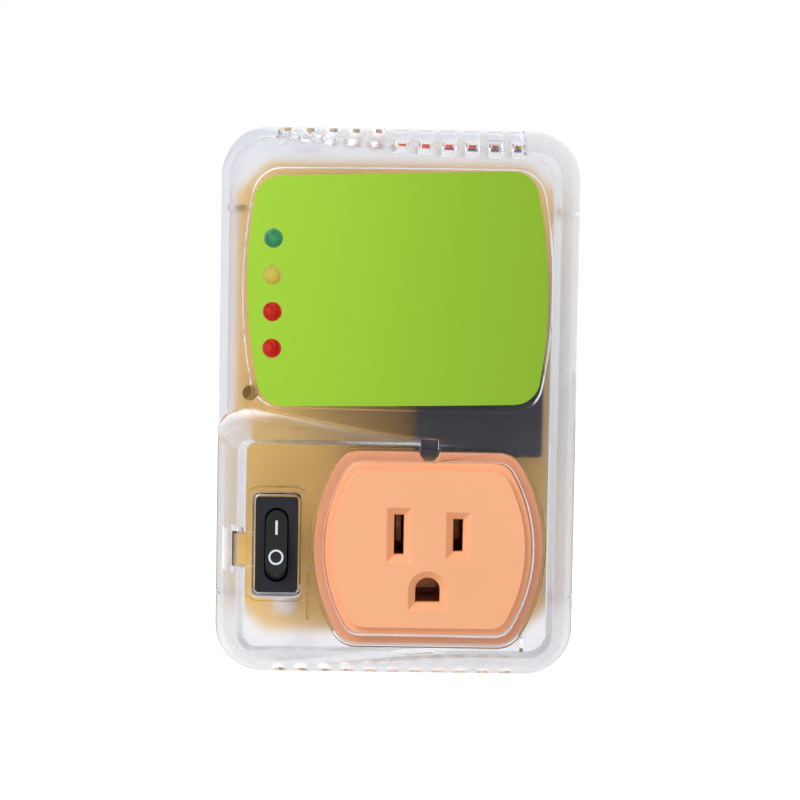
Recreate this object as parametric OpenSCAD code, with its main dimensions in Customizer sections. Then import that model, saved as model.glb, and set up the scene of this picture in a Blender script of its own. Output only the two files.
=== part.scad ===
// Plug-in voltage protector in a clear housing: a wall plug behind, an outlet, a rocker switch
// and four indicator lamps in front. X points right, Z up, and the front faces -Y.
// The origin is the middle of the plug's face, where it meets the wall outlet.

/* [Housing] */
// Width of the housing
housing_w = 78; // [76:0.5:82]
// Height of the housing
housing_h = 119.5; // [118:0.5:125]
// Radius of the four upright corners
corner_r = 11; // [9.5:0.5:12.5]
// Thickness of the side walls
wall = 2; // [1.7:0.1:2.2]
// Thickness of the front wall
front_wall = 2.2; // [2:0.1:2.5]
// Depth of the rear cover up to the parting line
rear_cover_d = 8; // [7:0.25:8.5]
// Rounding of the rear cover's back edge
rear_edge = 1.6; // [1:0.1:2]
// How far the shoulder draws the front face in from the sides
shoulder_in = 6; // [5.5:0.1:6.2]
// Depth over which the shoulder comes out to full size
shoulder_drop = 13; // [11:0.5:14]
// Height of the plug above the middle of the housing
plug_height = 25; // [20:0.5:28]

/* [Curved label panel] */
// Radius of the panel's curve
panel_r = 153; // [145:1:170]
// Where the curve meets the flat front, right of the middle
curve_x = 20; // [17:0.5:22]
// Full-size top edge of the raised lower block, from the middle
block_top = -1.1; // [-2:0.1:-0.5]
// How far the lower block's top shoulder draws in
step_in = 6.8; // [6.4:0.1:7]
// Upright corner radius of the lower block's top
step_r = 9.5; // [9:0.5:10.5]
// Width of the label recess
label_recess_w = 66.4; // [65.5:0.1:67]
// Height of the label recess
label_recess_h = 51.5; // [51:0.1:52]
// Depth of the label recess
recess_d = 0.4; // [0.3:0.05:0.6]
// Height of the recess's middle
label_recess_z = 24.6; // [24.6:0.1:25]
// Offset of the recess and label from the middle
label_recess_x = -0.7; // [-1:0.1:0]
// Radius of the recess's bulging sides
recess_side_r = 108; // [100:1:120]
// Corner radius of the recess
recess_r = 6.5; // [5:0.5:7]
// Border left between the label and the recess edge
label_border = 0.85; // [0.75:0.05:1]
// How far the label is turned in its recess, in degrees
label_turn = 1.6; // [0:0.1:1.6]
// Thickness of the label film
label_t = 0.2; // [0.15:0.05:0.25]

/* [Vents] */
// Slots in the top wall, and as many in the bottom wall
vent_count = 11; // [7:1:11]
// Distance between slots
slot_pitch = 5; // [4.6:0.1:5.1]
// Width of a slot
slot_width = 3.3; // [2.8:0.1:3.6]
// Depth behind the front at which the top slots beside the flat part of the panel begin
vent_start = 1.9; // [1.8:0.1:2.4]
// Depth behind the front at which the other slots begin
deep_vent_start = 9; // [8.5:0.25:9.5]
// Depth behind the front at which the slots end
vent_end = 15; // [14:0.5:16]

/* [Outlet] */
// Outlet centre, right of the middle
outlet_x = 7; // [6:0.1:7]
// Outlet centre, from the middle
outlet_z = -30.9; // [-31:0.1:-30.2]
// Width of the outlet's flange
outlet_flange_w = 49.2; // [48:0.1:49.4]
// Height of the outlet's flange
outlet_flange_h = 42; // [41:0.1:42]
// Thickness of the flange
flange_t = 1.6; // [1.4:0.1:1.8]
// Width of the opening in the front wall
outlet_opening_w = 45; // [44:0.1:45]
// Height of the opening in the front wall
outlet_opening_h = 38; // [37.2:0.1:38]
// Width of the outlet's face
outlet_face_w = 41.7; // [40.5:0.1:42]
// Height of the outlet's face
outlet_face_h = 34.6; // [33.8:0.1:35]
// How far the face stands proud of the front wall
face_proud = 1.2; // [0.8:0.1:1.5]
// Distance between the two blade slots
blade_pitch = 12.7; // [12.7:0.1:12.7]
// Distance from the blade line down to the ground hole
ground_drop = 11.9; // [11.9:0.1:11.9]
// Blade line above the outlet's centre
blade_line = 3.05; // [3:0.1:3.6]
// Width of the blade slots
slot_w = 2.1; // [2:0.05:2.3]
// Length of the neutral slot
neutral_slot_h = 8.6; // [8.2:0.1:8.6]
// Length of the hot slot
hot_slot_h = 7; // [6.7:0.1:7]
// Width and height of the ground hole
ground_hole = 5.3; // [5.1:0.1:5.5]
// Bevel around the slots and the ground hole
bevel = 1.6; // [1.3:0.1:1.7]

/* [Rocker switch] */
// Switch centre, from the middle
rocker_x = -25.6; // [-25.9:0.1:-25.4]
// Width of the switch bezel
bezel_w = 9.1; // [8.9:0.1:9.3]
// Height of the switch bezel
bezel_h = 20.5; // [20.2:0.1:20.8]
// Thickness of the switch bezel
bezel_t = 2; // [1.9:0.1:2.1]
// Gap between the bezel and the edge of its pocket
pocket_gap = 0.9; // [0.7:0.1:1]
// Depth of the pocket
pocket_d = 2.4; // [2.3:0.1:2.5]
// Width of the rocker
rocker_w = 4.6; // [4.4:0.1:4.8]
// Length of the opening in the bezel
rocker_slot_h = 16; // [15.6:0.1:16.4]
// Tilt of the rocker either side of the middle
rocker_tilt = 12; // [10:0.5:12]

/* [Wall plug] */
// How far the plug pad stands off the back
pad_h = 1; // [0.8:0.1:1.2]
// Thickness of the blades
blade_t = 1.5; // [1.4:0.05:1.6]
// Exposed length of the blades
blade_len = 17.5; // [16:0.1:18]
// Width of the hot blade
hot_blade_w = 6.35; // [6.2:0.05:6.5]
// Width of the neutral blade
neutral_blade_w = 7.9; // [7.7:0.1:8]
// Radius of the ground pin
ground_r = 2.38; // [2.3:0.01:2.42]
// Exposed length of the ground pin
ground_len = 20.9; // [19.5:0.1:21.5]

/* [Circuit board] */
// Thickness of the board
board_t = 1.6; // [1.4:0.1:1.8]
// Gap between the board and the side walls
board_side_gap = 1; // [0.8:0.1:1.4]
// Gap between the board and the end walls
board_end_gap = 4.9; // [4.6:0.1:5.4]
// Chamfer of the board's corners
board_chamfer = 7; // [6:0.5:8]
// Height of the standoffs behind the board
standoff_h = 10; // [9.6:0.1:10.5]
// Width of the relay
relay_w = 27.4; // [27:0.1:27.8]
// Length of the relay
relay_l = 32.4; // [32:0.1:32.6]
// Height of the relay
relay_h = 20; // [19.6:0.1:20.4]
// Room between the relay and the front wall
relay_room = 3.2; // [3.1:0.1:3.6]
// Diameter of an indicator lamp
led_d = 5; // [4.8:0.1:5.1]
// Diameter of the holes in front of the lamps
led_hole_d = 4; // [3.6:0.1:4.1]
// Distance between lamps
lamp_pitch = 7.95; // [7.8:0.05:8.1]

/* [Hidden] */

// Overrun of every cut past the face it opens
over = 1;
// Clearances: parts that slide together, parts dropped in place
fit_gap = 0.15;
seat_gap = 0.3;
// Segments of faceted corner posts and of true round parts
post_sides = 32;
round_sides = 48;
thin_sides = 24;
// Steps of the shoulder's curve and of each barrel arc
shoulder_steps = 6;
arc_steps = 5;

// Stack of depths from the plug's face forward
back_y = -pad_h;
board_back_y = back_y - wall - standoff_h;
board_front_y = board_back_y - board_t;
housing_d = relay_h + relay_room + front_wall - board_front_y;
parting_y = back_y - rear_cover_d;
front_y = -housing_d;
inner_y = front_y + front_wall;

// Layout: places and the outlet's and label's outlines follow the housing from the size it is drawn for
drawn_w = 78;
drawn_h = 119.5;
wide = housing_w / drawn_w;
tall = housing_h / drawn_h;
function spread(points) = [for (p = points) [p[0] * wide, p[1] * tall]];
socket_x = outlet_x * wide;
socket_z = outlet_z * tall;
flange_w = outlet_flange_w * wide;
flange_h = outlet_flange_h * tall;
opening_w = outlet_opening_w * wide;
opening_h = outlet_opening_h * tall;
face_w = outlet_face_w * wide;
face_h = outlet_face_h * tall;
switch_x = rocker_x * wide;
panel_x = curve_x * wide;
step_top = block_top * tall;
recess_w = label_recess_w * wide;
recess_h = label_recess_h * tall;
recess_x = label_recess_x * wide;
recess_z = label_recess_z * tall;
vent_pitch = slot_pitch * wide;
vent_w = slot_width * wide;
led_pitch = lamp_pitch * tall;
plug_rise = plug_height * tall;

// Board outline
board_w = housing_w - 2 * (wall + board_side_gap);
board_h = housing_h - 2 * (wall + board_end_gap);

// Depth behind the front of the curved panel at x, and of its inner side
function panel_depth(x) = x < panel_x ? panel_r - sqrt(pow(panel_r, 2) - pow(panel_x - x, 2)) : 0;
function mirrored(points) = [for (i = [len(points) - 1:-1:0]) [-points[i][0], points[i][1]]];
function flipped(points) = [for (i = [len(points) - 1:-1:0]) [points[i][0], -points[i][1]]];

// Barrel outline: flat top and bottom, bulging sides, round corners
function barrel_quarter(w, h, side_r, r) = let(
        side_x = w / 2 - side_r,
        corner_y = h / 2 - r,
        corner_x = side_x + sqrt(pow(side_r - r, 2) - pow(corner_y, 2)),
        turn = atan2(corner_y, corner_x - side_x))
    concat(
        [for (i = [0:arc_steps]) let(a = turn * i / arc_steps) [side_x + side_r * cos(a), side_r * sin(a)]],
        [for (i = [1:arc_steps]) let(a = turn + (90 - turn) * i / arc_steps)
            [corner_x + r * cos(a), corner_y + r * sin(a)]]);
function upper_half(quarter) = concat(quarter, [for (p = mirrored(quarter)) if (p[1] > 0) p]);
function barrel(w, h, side_r, r) = let(top = upper_half(barrel_quarter(w, h, side_r, r)),
        left_end = [-w / 2, 0])
    concat(top, [left_end], [for (p = flipped(top)) if (p[1] < 0) p]);

// Puts a piece drawn about the housing's middle into the plug's frame
module at_middle() {
    translate([0, 0, -plug_rise]) children();
}

// A flat outline in X and Z, thick from y0 back to y1
module slab(y0, y1) {
    translate([0, y1, 0]) rotate([90, 0, 0]) linear_extrude(height = y1 - y0) children();
}

// A round rod along Y, from y0 back to y1
module rod(r, y0, y1, sides = round_sides) {
    translate([0, y1, 0]) rotate([90, 0, 0]) cylinder(r = r, h = y1 - y0, $fn = sides);
}

// A turned piece about a line along Y: the profile's second value is the distance forward
module turned(profile, sides = round_sides) {
    rotate([90, 0, 0]) rotate_extrude($fn = sides) polygon(profile);
}

// A box between two corners
module block(low, high) {
    translate(low) cube(high - low);
}

module round_rect(w, h, r) {
    union() {
        square([w - 2 * r, h], center = true);
        square([w, h - 2 * r], center = true);
        for (x = [-1, 1]) for (y = [-1, 1])
            translate([x * (w / 2 - r), y * (h / 2 - r)]) circle(r = r, $fn = round_sides);
    }
}

// Obround outline along Z
module obround(w, h) {
    union() {
        square([w, h - w], center = true);
        for (y = [-1, 1]) translate([0, y * (h - w) / 2]) circle(d = w, $fn = round_sides);
    }
}

// Housing body with four turned corner posts: the shoulder narrows it by inset over the drop
module posts(low, high, r, inset, from_y, to_y, drop) {
    profile = concat([[0, -from_y], [r, -from_y]],
        [for (i = [shoulder_steps:-1:0]) let(t = i / shoulder_steps)
            [r - inset * pow(1 - t, 2), -to_y - drop * t]],
        [[0, -to_y]]);
    hull() for (x = [low[0] + r, high[0] - r]) for (z = [low[1] + r, high[1] - r])
        translate([x, 0, z]) turned(profile, post_sides);
}

// The housing's full shape, drawn in by a margin on every side
module body_form(margin, inset, to_y) {
    half = [housing_w / 2 - margin, housing_h / 2 - margin];
    posts(-half, half, corner_r - margin, inset, parting_y + (margin > 0 ? over : 0), to_y, shoulder_drop);
}

// The raised lower block: only its top and its upper left corner differ from the body
module step_form(margin, inset, to_y) {
    reach = step_in + over;
    spread = step_in - shoulder_in;
    low = [-housing_w / 2 - spread + margin, -housing_h / 2 - reach];
    high = [housing_w / 2 + reach, step_top - margin];
    posts(low, high, step_r - margin, inset, parting_y + (margin > 0 ? over : 0), to_y, shoulder_drop);
}

// Everything behind the curved panel, sunk by an amount
module panel_zone(sink) {
    reach = housing_h + 2 * over;
    union() {
        translate([panel_x, front_y + panel_r, -reach / 2])
            cylinder(r = panel_r - sink, h = reach, $fn = 360);
        block([panel_x, front_y + sink, -reach / 2], [housing_w, 0, reach / 2]);
    }
}

// What the curved panel and the lower block leave of the body
module front_form(margin, sink) {
    draw = margin > 0 ? front_wall / 2 : 0;
    intersection() {
        body_form(margin, shoulder_in - draw, front_y + sink);
        union() {
            panel_zone(sink);
            step_form(margin, step_in - draw, front_y + sink);
        }
    }
}

// Label recess and label
recess_low_y = front_y - over;
module recess_outline(border) {
    translate([recess_x, recess_z])
        rotate(border > 0 ? label_turn : 0)
        polygon(barrel(recess_w - 2 * border, recess_h - 2 * border, recess_side_r, recess_r));
}

// Indicator lamps: x and z of each hole and how far the lamp sits left of it
led_top = spread([[-27.5, 35.3]])[0];
led_x = led_top[0];
led_top_z = led_top[1];
led_shift = 1.05;
led_names = ["green", "yellow", "red upper", "red lower"];
function led_z(i) = led_top_z - i * led_pitch;
function led_at(i) = led_x - (i == 0 ? 0 : led_shift);
led_length = 8.6;
led_rim = 0.4;
led_rim_h = 1;
led_leg = 0.5;
led_leg_pitch = 2.54;
led_tip_y = front_y + panel_depth(led_x) + front_wall + 2 * seat_gap;

// Outlet outlines
flange_side_r = 40;
flange_r = 8;
opening_side_r = flange_side_r - (flange_w - opening_w) / 2;
opening_r = flange_r - (flange_w - opening_w) / 4;
face_side_r = opening_side_r - (opening_w - face_w) / 2;
face_r = opening_r - (opening_w - face_w) / 4;
flange_back_y = inner_y + flange_t;
face_y = front_y - face_proud;
rim_t = 0.9;

// Outlet body behind the flange
socket_body_w = 33;
socket_body_h = 29;
socket_body_z = -1.6;
socket_body_r = 2.5;
socket_back_t = 2;
board_gap = 1;
socket_back_y = board_front_y - board_gap;
socket_split_y = socket_back_y - socket_back_t;
socket_floor = 3.2;
socket_pocket_w = 6.4;
socket_pocket_h = 11;
socket_screw_x = 13.6;
socket_screw_z = -11.5;
ground_hole_z = blade_line - ground_drop;

// Switch: pocket, body, rocker pivot
switch_rise = 0.4;
switch_z = socket_z + switch_rise;
pocket_w = bezel_w + 2 * pocket_gap;
pocket_h = bezel_h + 2 * pocket_gap;
pocket_floor_t = 1.6;
pocket_floor_y = front_y + pocket_d;
bezel_y = pocket_floor_y - bezel_t;
bezel_r = 0.8;
switch_body_w = 7.8;
switch_body_h = 18.4;
switch_body_d = 11;
switch_wall = 0.9;
switch_base_t = 1.2;
switch_split_y = pocket_floor_y + switch_body_d;
switch_back_y = switch_split_y + switch_base_t;
collar_t = 1;
collar_h = 5;
rocker_gap = 0.25;
rocker_r = rocker_slot_h / 2 - rocker_gap;
pivot_depth = 2;
pivot_y = bezel_y + pivot_depth;
rocker_face = 3.3;
rocker_dish_r = 60;
pivot_r = 0.8;
pivot_len = 0.6;
stem_w = 3.4;
stem_len = 5.2;
plunger_r = 0.85;
plunger_reach = 7;
spring_wire_r = 0.15;
spring_turns = 5;
lever_t = 0.5;
lever_w = 3;
lever_arm = 5.6;
lever_rise_share = 0.16;
lever_ratio_share = 0.5;
lever_y = pivot_y + plunger_reach + seat_gap;
cradle_y = lever_y + lever_t + fit_gap;
terminal_t = 0.6;
terminal_w = 3;
terminal_len = 5.5;
terminal_z = 6.4;

// Wall plug
slot_gap = 0.25;
boss_h = 3;
boss_y = back_y - wall - boss_h;
retainer_t = 3;
retainer_y = boss_y - retainer_t;
shoulder_t = 2;
shoulder_extra = 1.2;
tail_w = 3.2;
tail_t = 1;
solder_out = 1.4;
blade_tip = 1.5;
blade_hole_r = 1.6;
blade_hole_back = 5.6;
pad_w = 30;
pad_top = 9;
pad_low = 19;
pad_r = 6;
neck_r = ground_r + 0.5;
collar_r = 4.2;
ground_tip = 2.2;
retainer_w = 27;
retainer_top = 7;
retainer_low = 17;
retainer_screw_x = 9.5;
retainer_screw_z = -10.6;

// Relay and other parts on the board
relay_at = spread([[17.8, 5]])[0];
relay_x = relay_at[0];
relay_z = relay_at[1];
relay_wall = 1.2;
relay_base_t = 2;
relay_foot = 0.5;
relay_edge = 0.8;
relay_pin_r = 0.6;
relay_pin_shares = [[-0.38, 0.42], [0.38, 0.42], [-0.38, -0.42], [0.38, -0.42], [0, -0.42]];

screw_places = spread([[-24.5, -46.3], [-25.5, 46.5], [25, 45]]);
screw_r = 1.5;
screw_head_r = 3;
screw_head_h = 1.9;
screw_len = 8;
screw_hole_r = 1.7;
standoff_r = 3.2;
standoff_pilot_r = 1.25;
post_places = spread([[26, -44], [-31.5, 0], [31.5, 0]]);

// Which side of the housing each repeated feature is on
sides = [-1, 1];

// Snap hooks on the rear cover and catches on the front cover
hook_at = 20.4;
hook_x = hook_at * wide;
hook_w = 5.5;
hook_t = 1.4;
hook_in = wall + fit_gap + 0.9;
hook_tip_y = -20;
barb_t = 0.8;
barb_l = 2.4;
catch_t = 0.9;
catch_l = 1.5;
catch_y = hook_tip_y + barb_l + fit_gap;

// Lip of the rear cover inside the front cover's edge
lip_t = 0.9;
lip_h = 2.5;

// Ribs that hold the board down on its standoffs
rib_t = 1.4;
rib_at = 42;
rib_z = rib_at * tall;
rib_reach = 3.5;
rib_front = 6;

// Post between the curved panel and the board
pillar = [3.2, 6.3];
pillar_at = spread([[-32, 1.5]])[0];

// Thin ribs beside the outlet: middle x, low z, high z and depth
thin_rib_t = 0.7;
thin_rib_places = [[-19.2, -46.7, -36, 8], [27.5, -53.4, -49.8, 10]];
thin_ribs = [for (r = thin_rib_places) [r[0] * wide, r[1] * tall, r[2] * tall, r[3]]];

// Clear hook that holds the outlet's flange
clip_w = 3.9;
clip_t = 1.7;
clip_nose = 1.6;
clip_nose_t = 1.3;
notch_r = 2.2;

// Notch in the left shoulder beside the switch
notch_corners = spread([[-34.4, -34.7], [-31.9, -27.2]]);
notch_low = notch_corners[0];
notch_high = notch_corners[1];
notch_d = 3.2;
notch_wall = 1.2;

// Turned profile of an arc from one end of a radius to the other
function arc(cx, cy, r, a0, a1, n) = [for (i = [0:n]) let(a = a0 + (a1 - a0) * i / n)
    [cx + r * cos(a), cy + r * sin(a)]];

// Front cover
pocket_back_y = pocket_floor_y + pocket_floor_t;
pocket_wall = 1.2;
pocket_r = 1.8;

module at_socket() {
    at_middle() translate([socket_x, 0, socket_z]) children();
}

module at_switch() {
    at_middle() translate([switch_x, 0, switch_z]) children();
}

module flange_outline(grow) {
    polygon(barrel(flange_w + 2 * grow, flange_h + 2 * grow, flange_side_r + grow, flange_r + grow));
}

module opening_outline(shrink) {
    polygon(barrel(opening_w - 2 * shrink, opening_h - 2 * shrink, opening_side_r - shrink,
        opening_r - shrink));
}

// Rim and hook round the outlet's flange
module socket_seat() {
    translate([socket_x, 0, socket_z]) {
        difference() {
            slab(inner_y - over, flange_back_y + rim_t) flange_outline(seat_gap + rim_t);
            slab(inner_y - 2 * over, flange_back_y + over + rim_t) flange_outline(seat_gap);
            block([-clip_w / 2 - seat_gap, inner_y, flange_h / 2 - notch_r],
                [clip_w / 2 + seat_gap, flange_back_y + over + rim_t, flange_h / 2 + seat_gap + clip_t]);
        }
        block([-clip_w / 2, inner_y - over, flange_h / 2 + seat_gap],
            [clip_w / 2, flange_back_y + fit_gap + clip_nose_t, flange_h / 2 + seat_gap + clip_t]);
        block([-clip_w / 2, flange_back_y + fit_gap, flange_h / 2 - clip_nose],
            [clip_w / 2, flange_back_y + fit_gap + clip_nose_t, flange_h / 2 + seat_gap + clip_t]);
    }
}

module switch_seat() {
    translate([switch_x, 0, switch_z]) {
        slab(inner_y - over, pocket_back_y)
            round_rect(pocket_w + 2 * pocket_wall, pocket_h + 2 * pocket_wall, pocket_r + pocket_wall);
        slab(inner_y - over, pocket_back_y + collar_h)
            square([switch_body_w + 2 * (fit_gap + collar_t), switch_body_h + 2 * (fit_gap + collar_t)],
                center = true);
    }
    block([notch_low[0] - notch_wall, inner_y - over, notch_low[1] - notch_wall],
        [notch_high[0] + notch_wall, front_y + notch_d + notch_wall, notch_high[1] + notch_wall]);
}

// Everything that stands on the front cover's inner side
module front_fittings() {
    socket_seat();
    switch_seat();
    for (x = sides) for (z = sides)
        block([x > 0 ? housing_w / 2 - wall - rib_reach : -housing_w / 2, front_y + rib_front,
                z * rib_z - rib_t / 2],
            [x > 0 ? housing_w / 2 : -housing_w / 2 + wall + rib_reach, board_front_y,
                z * rib_z + rib_t / 2]);
    translate([pillar_at[0], 0, pillar_at[1]])
        slab(front_y, board_front_y) square(pillar, center = true);
    for (r = thin_ribs)
        block([r[0] - thin_rib_t / 2, inner_y - over, r[1]], [r[0] + thin_rib_t / 2, front_y + r[3], r[2]]);
    for (x = sides) for (z = sides)
        block([x * hook_x - hook_w / 2, catch_y, z > 0 ? housing_h / 2 - wall - catch_t : -housing_h / 2],
            [x * hook_x + hook_w / 2, catch_y + catch_l,
                z > 0 ? housing_h / 2 : -housing_h / 2 + wall + catch_t]);
}

vent_reach = 6;
flat_vent_reach = 4.3;
module vents() {
    for (i = [0:vent_count - 1]) for (z = sides) {
        x = (i - (vent_count - 1) / 2) * vent_pitch;
        flat = z > 0 && x > -over;
        start = flat ? vent_start : deep_vent_start;
        low = z > 0 ? housing_h / 2 - (flat ? flat_vent_reach : vent_reach) : -housing_h / 2 - over;
        translate([x, front_y, low]) linear_extrude(height = vent_reach + over) {
            translate([-vent_w / 2, start + vent_w / 2]) square([vent_w, vent_end - start - vent_w]);
            for (y = [start + vent_w / 2, vent_end - vent_w / 2])
                translate([0, y]) circle(d = vent_w, $fn = round_sides);
        }
    }
}

module led_holes() {
    for (i = [0:len(led_names) - 1]) translate([led_x, 0, led_z(i)])
        rod(led_hole_d / 2, recess_low_y, front_y + panel_depth(-housing_w / 2) + front_wall);
}

module label_cut(border, sink) {
    difference() {
        slab(recess_low_y, front_y + panel_depth(-housing_w / 2)) recess_outline(border);
        panel_zone(sink);
    }
}

module front_cover() {
    color([0.89, 0.9, 0.93, 0.4]) at_middle() difference() {
        front_form(0, 0);
        difference() {
            front_form(wall, front_wall);
            front_fittings();
        }
        label_cut(0, recess_d);
        led_holes();
        vents();
        translate([socket_x, 0, socket_z]) slab(recess_low_y, inner_y + fit_gap) opening_outline(0);
        translate([switch_x, 0, switch_z]) {
            slab(recess_low_y, pocket_floor_y) round_rect(pocket_w, pocket_h, pocket_r);
            slab(recess_low_y, pocket_back_y + collar_h + over)
                square([switch_body_w + 2 * fit_gap, switch_body_h + 2 * fit_gap], center = true);
        }
        block([notch_low[0], recess_low_y, notch_low[1]], [notch_high[0], front_y + notch_d, notch_high[1]]);
    }
}

module front_label() {
    color([0.6, 0.8, 0.26]) at_middle() difference() {
        intersection() {
            label_cut(label_border, recess_d);
            panel_zone(recess_d - label_t);
        }
        led_holes();
    }
}

// Rear cover
edge_steps = 4;
module rear_form() {
    profile = concat([[0, -back_y]],
        arc(corner_r - rear_edge, rear_edge - back_y, rear_edge, -90, 0, edge_steps),
        [[corner_r, -parting_y], [0, -parting_y]]);
    hull() for (x = sides) for (z = sides)
        translate([x * (housing_w / 2 - corner_r), 0, z * (housing_h / 2 - corner_r)])
            turned(profile, post_sides);
}

module inside_outline(gap) {
    round_rect(housing_w - 2 * (wall + gap), housing_h - 2 * (wall + gap), corner_r - wall - gap);
}

module snap_hooks() {
    for (x = sides) for (z = sides) {
        far = housing_h / 2 - hook_in;
        low = z > 0 ? far - hook_t : -far;
        block([x * hook_x - hook_w / 2, hook_tip_y, low],
            [x * hook_x + hook_w / 2, back_y - wall + fit_gap, low + hook_t]);
        translate([x * hook_x - hook_w / 2, 0, z * far]) rotate([90, 0, 90])
            linear_extrude(height = hook_w)
                polygon([[hook_tip_y, 0], [hook_tip_y + barb_l, z * barb_t], [hook_tip_y + barb_l, 0]]);
    }
}

// Slot or hole for each conductor through the back
module plug_slots(low_y, high_y, grow) {
    for (s = [[-1, neutral_blade_w], [1, hot_blade_w]])
        block([s[0] * blade_pitch / 2 - blade_t / 2 - grow, low_y, -s[1] / 2 - grow],
            [s[0] * blade_pitch / 2 + blade_t / 2 + grow, high_y, s[1] / 2 + grow]);
    translate([0, 0, -ground_drop]) rod(neck_r + grow, low_y, high_y);
}

module at_retainer_screws() {
    for (x = sides) translate([x * retainer_screw_x, 0, retainer_screw_z]) children();
}

pilot_gap = 0.05;
retainer_shank_r = 1.2;
retainer_pilot_y = -2.2;
pilot_depth = 7.4;

module rear_cover() {
    color([0.89, 0.9, 0.93, 0.4]) difference() {
        union() {
            at_middle() {
                difference() {
                    rear_form();
                    slab(parting_y - over, back_y - wall) inside_outline(0);
                }
                difference() {
                    slab(parting_y - lip_h, parting_y + over) inside_outline(fit_gap);
                    slab(parting_y - lip_h - over, parting_y + 2 * over) inside_outline(fit_gap + lip_t);
                }
                slab(parting_y, parting_y + over) difference() {
                    inside_outline(-fit_gap);
                    inside_outline(fit_gap + lip_t);
                }
                snap_hooks();
                for (p = concat(screw_places, post_places)) translate([p[0], 0, p[1]])
                    rod(standoff_r, board_back_y, back_y - wall + fit_gap);
            }
            translate([0, 0, (retainer_top - retainer_low) / 2])
                slab(boss_y, back_y - fit_gap) round_rect(retainer_w, retainer_top + retainer_low, pad_r / 2);
            translate([0, 0, (pad_top - pad_low) / 2])
                slab(back_y - fit_gap, 0) round_rect(pad_w, pad_top + pad_low, pad_r);
        }
        at_middle() for (p = screw_places) translate([p[0], 0, p[1]])
            rod(screw_r + pilot_gap, board_back_y - over, board_back_y + pilot_depth);
        plug_slots(boss_y - over, over, slot_gap);
        at_retainer_screws() rod(retainer_shank_r + pilot_gap, boss_y - over, retainer_pilot_y);
    }
}

// Wall plug
tail_end_y = board_front_y - solder_out;
tail_r = 1;
shoulder_y = boss_y - shoulder_t;

module blade(side, w) {
    translate([side * blade_pitch / 2, 0, 0]) difference() {
        intersection() {
            rotate([90, 0, 90]) translate([0, 0, -blade_t]) linear_extrude(height = 2 * blade_t) polygon([
                [tail_end_y, -tail_w / 2], [shoulder_y, -tail_w / 2], [shoulder_y, -w / 2 - shoulder_extra],
                [boss_y, -w / 2 - shoulder_extra], [boss_y, -w / 2], [blade_len - blade_tip, -w / 2],
                [blade_len, blade_tip - w / 2], [blade_len, w / 2 - blade_tip],
                [blade_len - blade_tip, w / 2], [boss_y, w / 2], [boss_y, w / 2 + shoulder_extra],
                [shoulder_y, w / 2 + shoulder_extra], [shoulder_y, tail_w / 2], [tail_end_y, tail_w / 2]]);
            translate([0, 0, -w]) linear_extrude(height = 2 * w) polygon([
                [-tail_t / 2, tail_end_y], [tail_t / 2, tail_end_y], [tail_t / 2, shoulder_y],
                [blade_t / 2, shoulder_y], [blade_t / 2, blade_len - blade_tip],
                [blade_t / 4, blade_len], [-blade_t / 4, blade_len],
                [-blade_t / 2, blade_len - blade_tip], [-blade_t / 2, shoulder_y], [-tail_t / 2, shoulder_y]]);
        }
        translate([-blade_t, blade_len - blade_hole_back, 0]) rotate([0, 90, 0])
            cylinder(r = blade_hole_r, h = 2 * blade_t, $fn = round_sides);
    }
}

module neutral_blade() {
    color("silver") blade(-1, neutral_blade_w);
}

module hot_blade() {
    color("silver") blade(1, hot_blade_w);
}

module ground_pin() {
    color("silver") translate([0, 0, -ground_drop]) turned(concat(
        [[0, -ground_len]],
        arc(ground_r - ground_tip, ground_tip - ground_len, ground_tip, -90, 0, edge_steps * 2),
        [[ground_r, 0], [neck_r, 0], [neck_r, -boss_y], [collar_r, -boss_y], [collar_r, -shoulder_y],
        [tail_r, -shoulder_y], [tail_r, -tail_end_y], [0, -tail_end_y]]));
}

module plug_tails(low_y, high_y, grow) {
    for (x = sides)
        block([x * blade_pitch / 2 - tail_t / 2 - grow, low_y, -tail_w / 2 - grow],
            [x * blade_pitch / 2 + tail_t / 2 + grow, high_y, tail_w / 2 + grow]);
    translate([0, 0, -ground_drop]) rod(tail_r + grow, low_y, high_y);
}

module blade_retainer() {
    color([0.9, 0.9, 0.88]) difference() {
        translate([0, 0, (retainer_top - retainer_low) / 2])
            slab(retainer_y, boss_y) round_rect(retainer_w, retainer_top + retainer_low, pad_r / 2);
        for (s = [[-1, neutral_blade_w], [1, hot_blade_w]])
            block([s[0] * blade_pitch / 2 - blade_t / 2 - fit_gap, shoulder_y, -s[1] / 2 - shoulder_extra - fit_gap],
                [s[0] * blade_pitch / 2 + blade_t / 2 + fit_gap, boss_y + over, s[1] / 2 + shoulder_extra + fit_gap]);
        translate([0, 0, -ground_drop]) rod(collar_r + fit_gap, shoulder_y, boss_y + over);
        plug_tails(retainer_y - over, boss_y + over, fit_gap);
        at_retainer_screws() rod(retainer_shank_r + fit_gap, retainer_y - over, boss_y + over);
    }
}

// A screw with its head's seat at y and its shank running back, with a cross recess
cross_w = 0.7;
module screw(y, head_r, head_h, shank_r, shank_len) {
    difference() {
        union() {
            turned(concat([[0, -y], [head_r, -y]],
                arc(head_r - head_h, -y, head_h, 0, 90, edge_steps), [[0, head_h - y]]), thin_sides);
            rod(shank_r, y - head_h / 2, y + shank_len, thin_sides);
        }
        for (a = [0, 90]) rotate([0, a, 0])
            block([-head_r * 0.6, y - head_h - over, -cross_w / 2], [head_r * 0.6, y - head_h / 2, cross_w / 2]);
    }
}

retainer_head_r = 2.5;
retainer_head_h = 1.6;
retainer_shank_len = 6.2;
module retainer_screws() {
    color("silver") at_retainer_screws()
        screw(retainer_y, retainer_head_r, retainer_head_h, retainer_shank_r, retainer_shank_len);
}

// Circuit board
lead_r = 0.35;
lead_gap = 0.1;
lead_end_y = board_back_y + solder_out;

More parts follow.
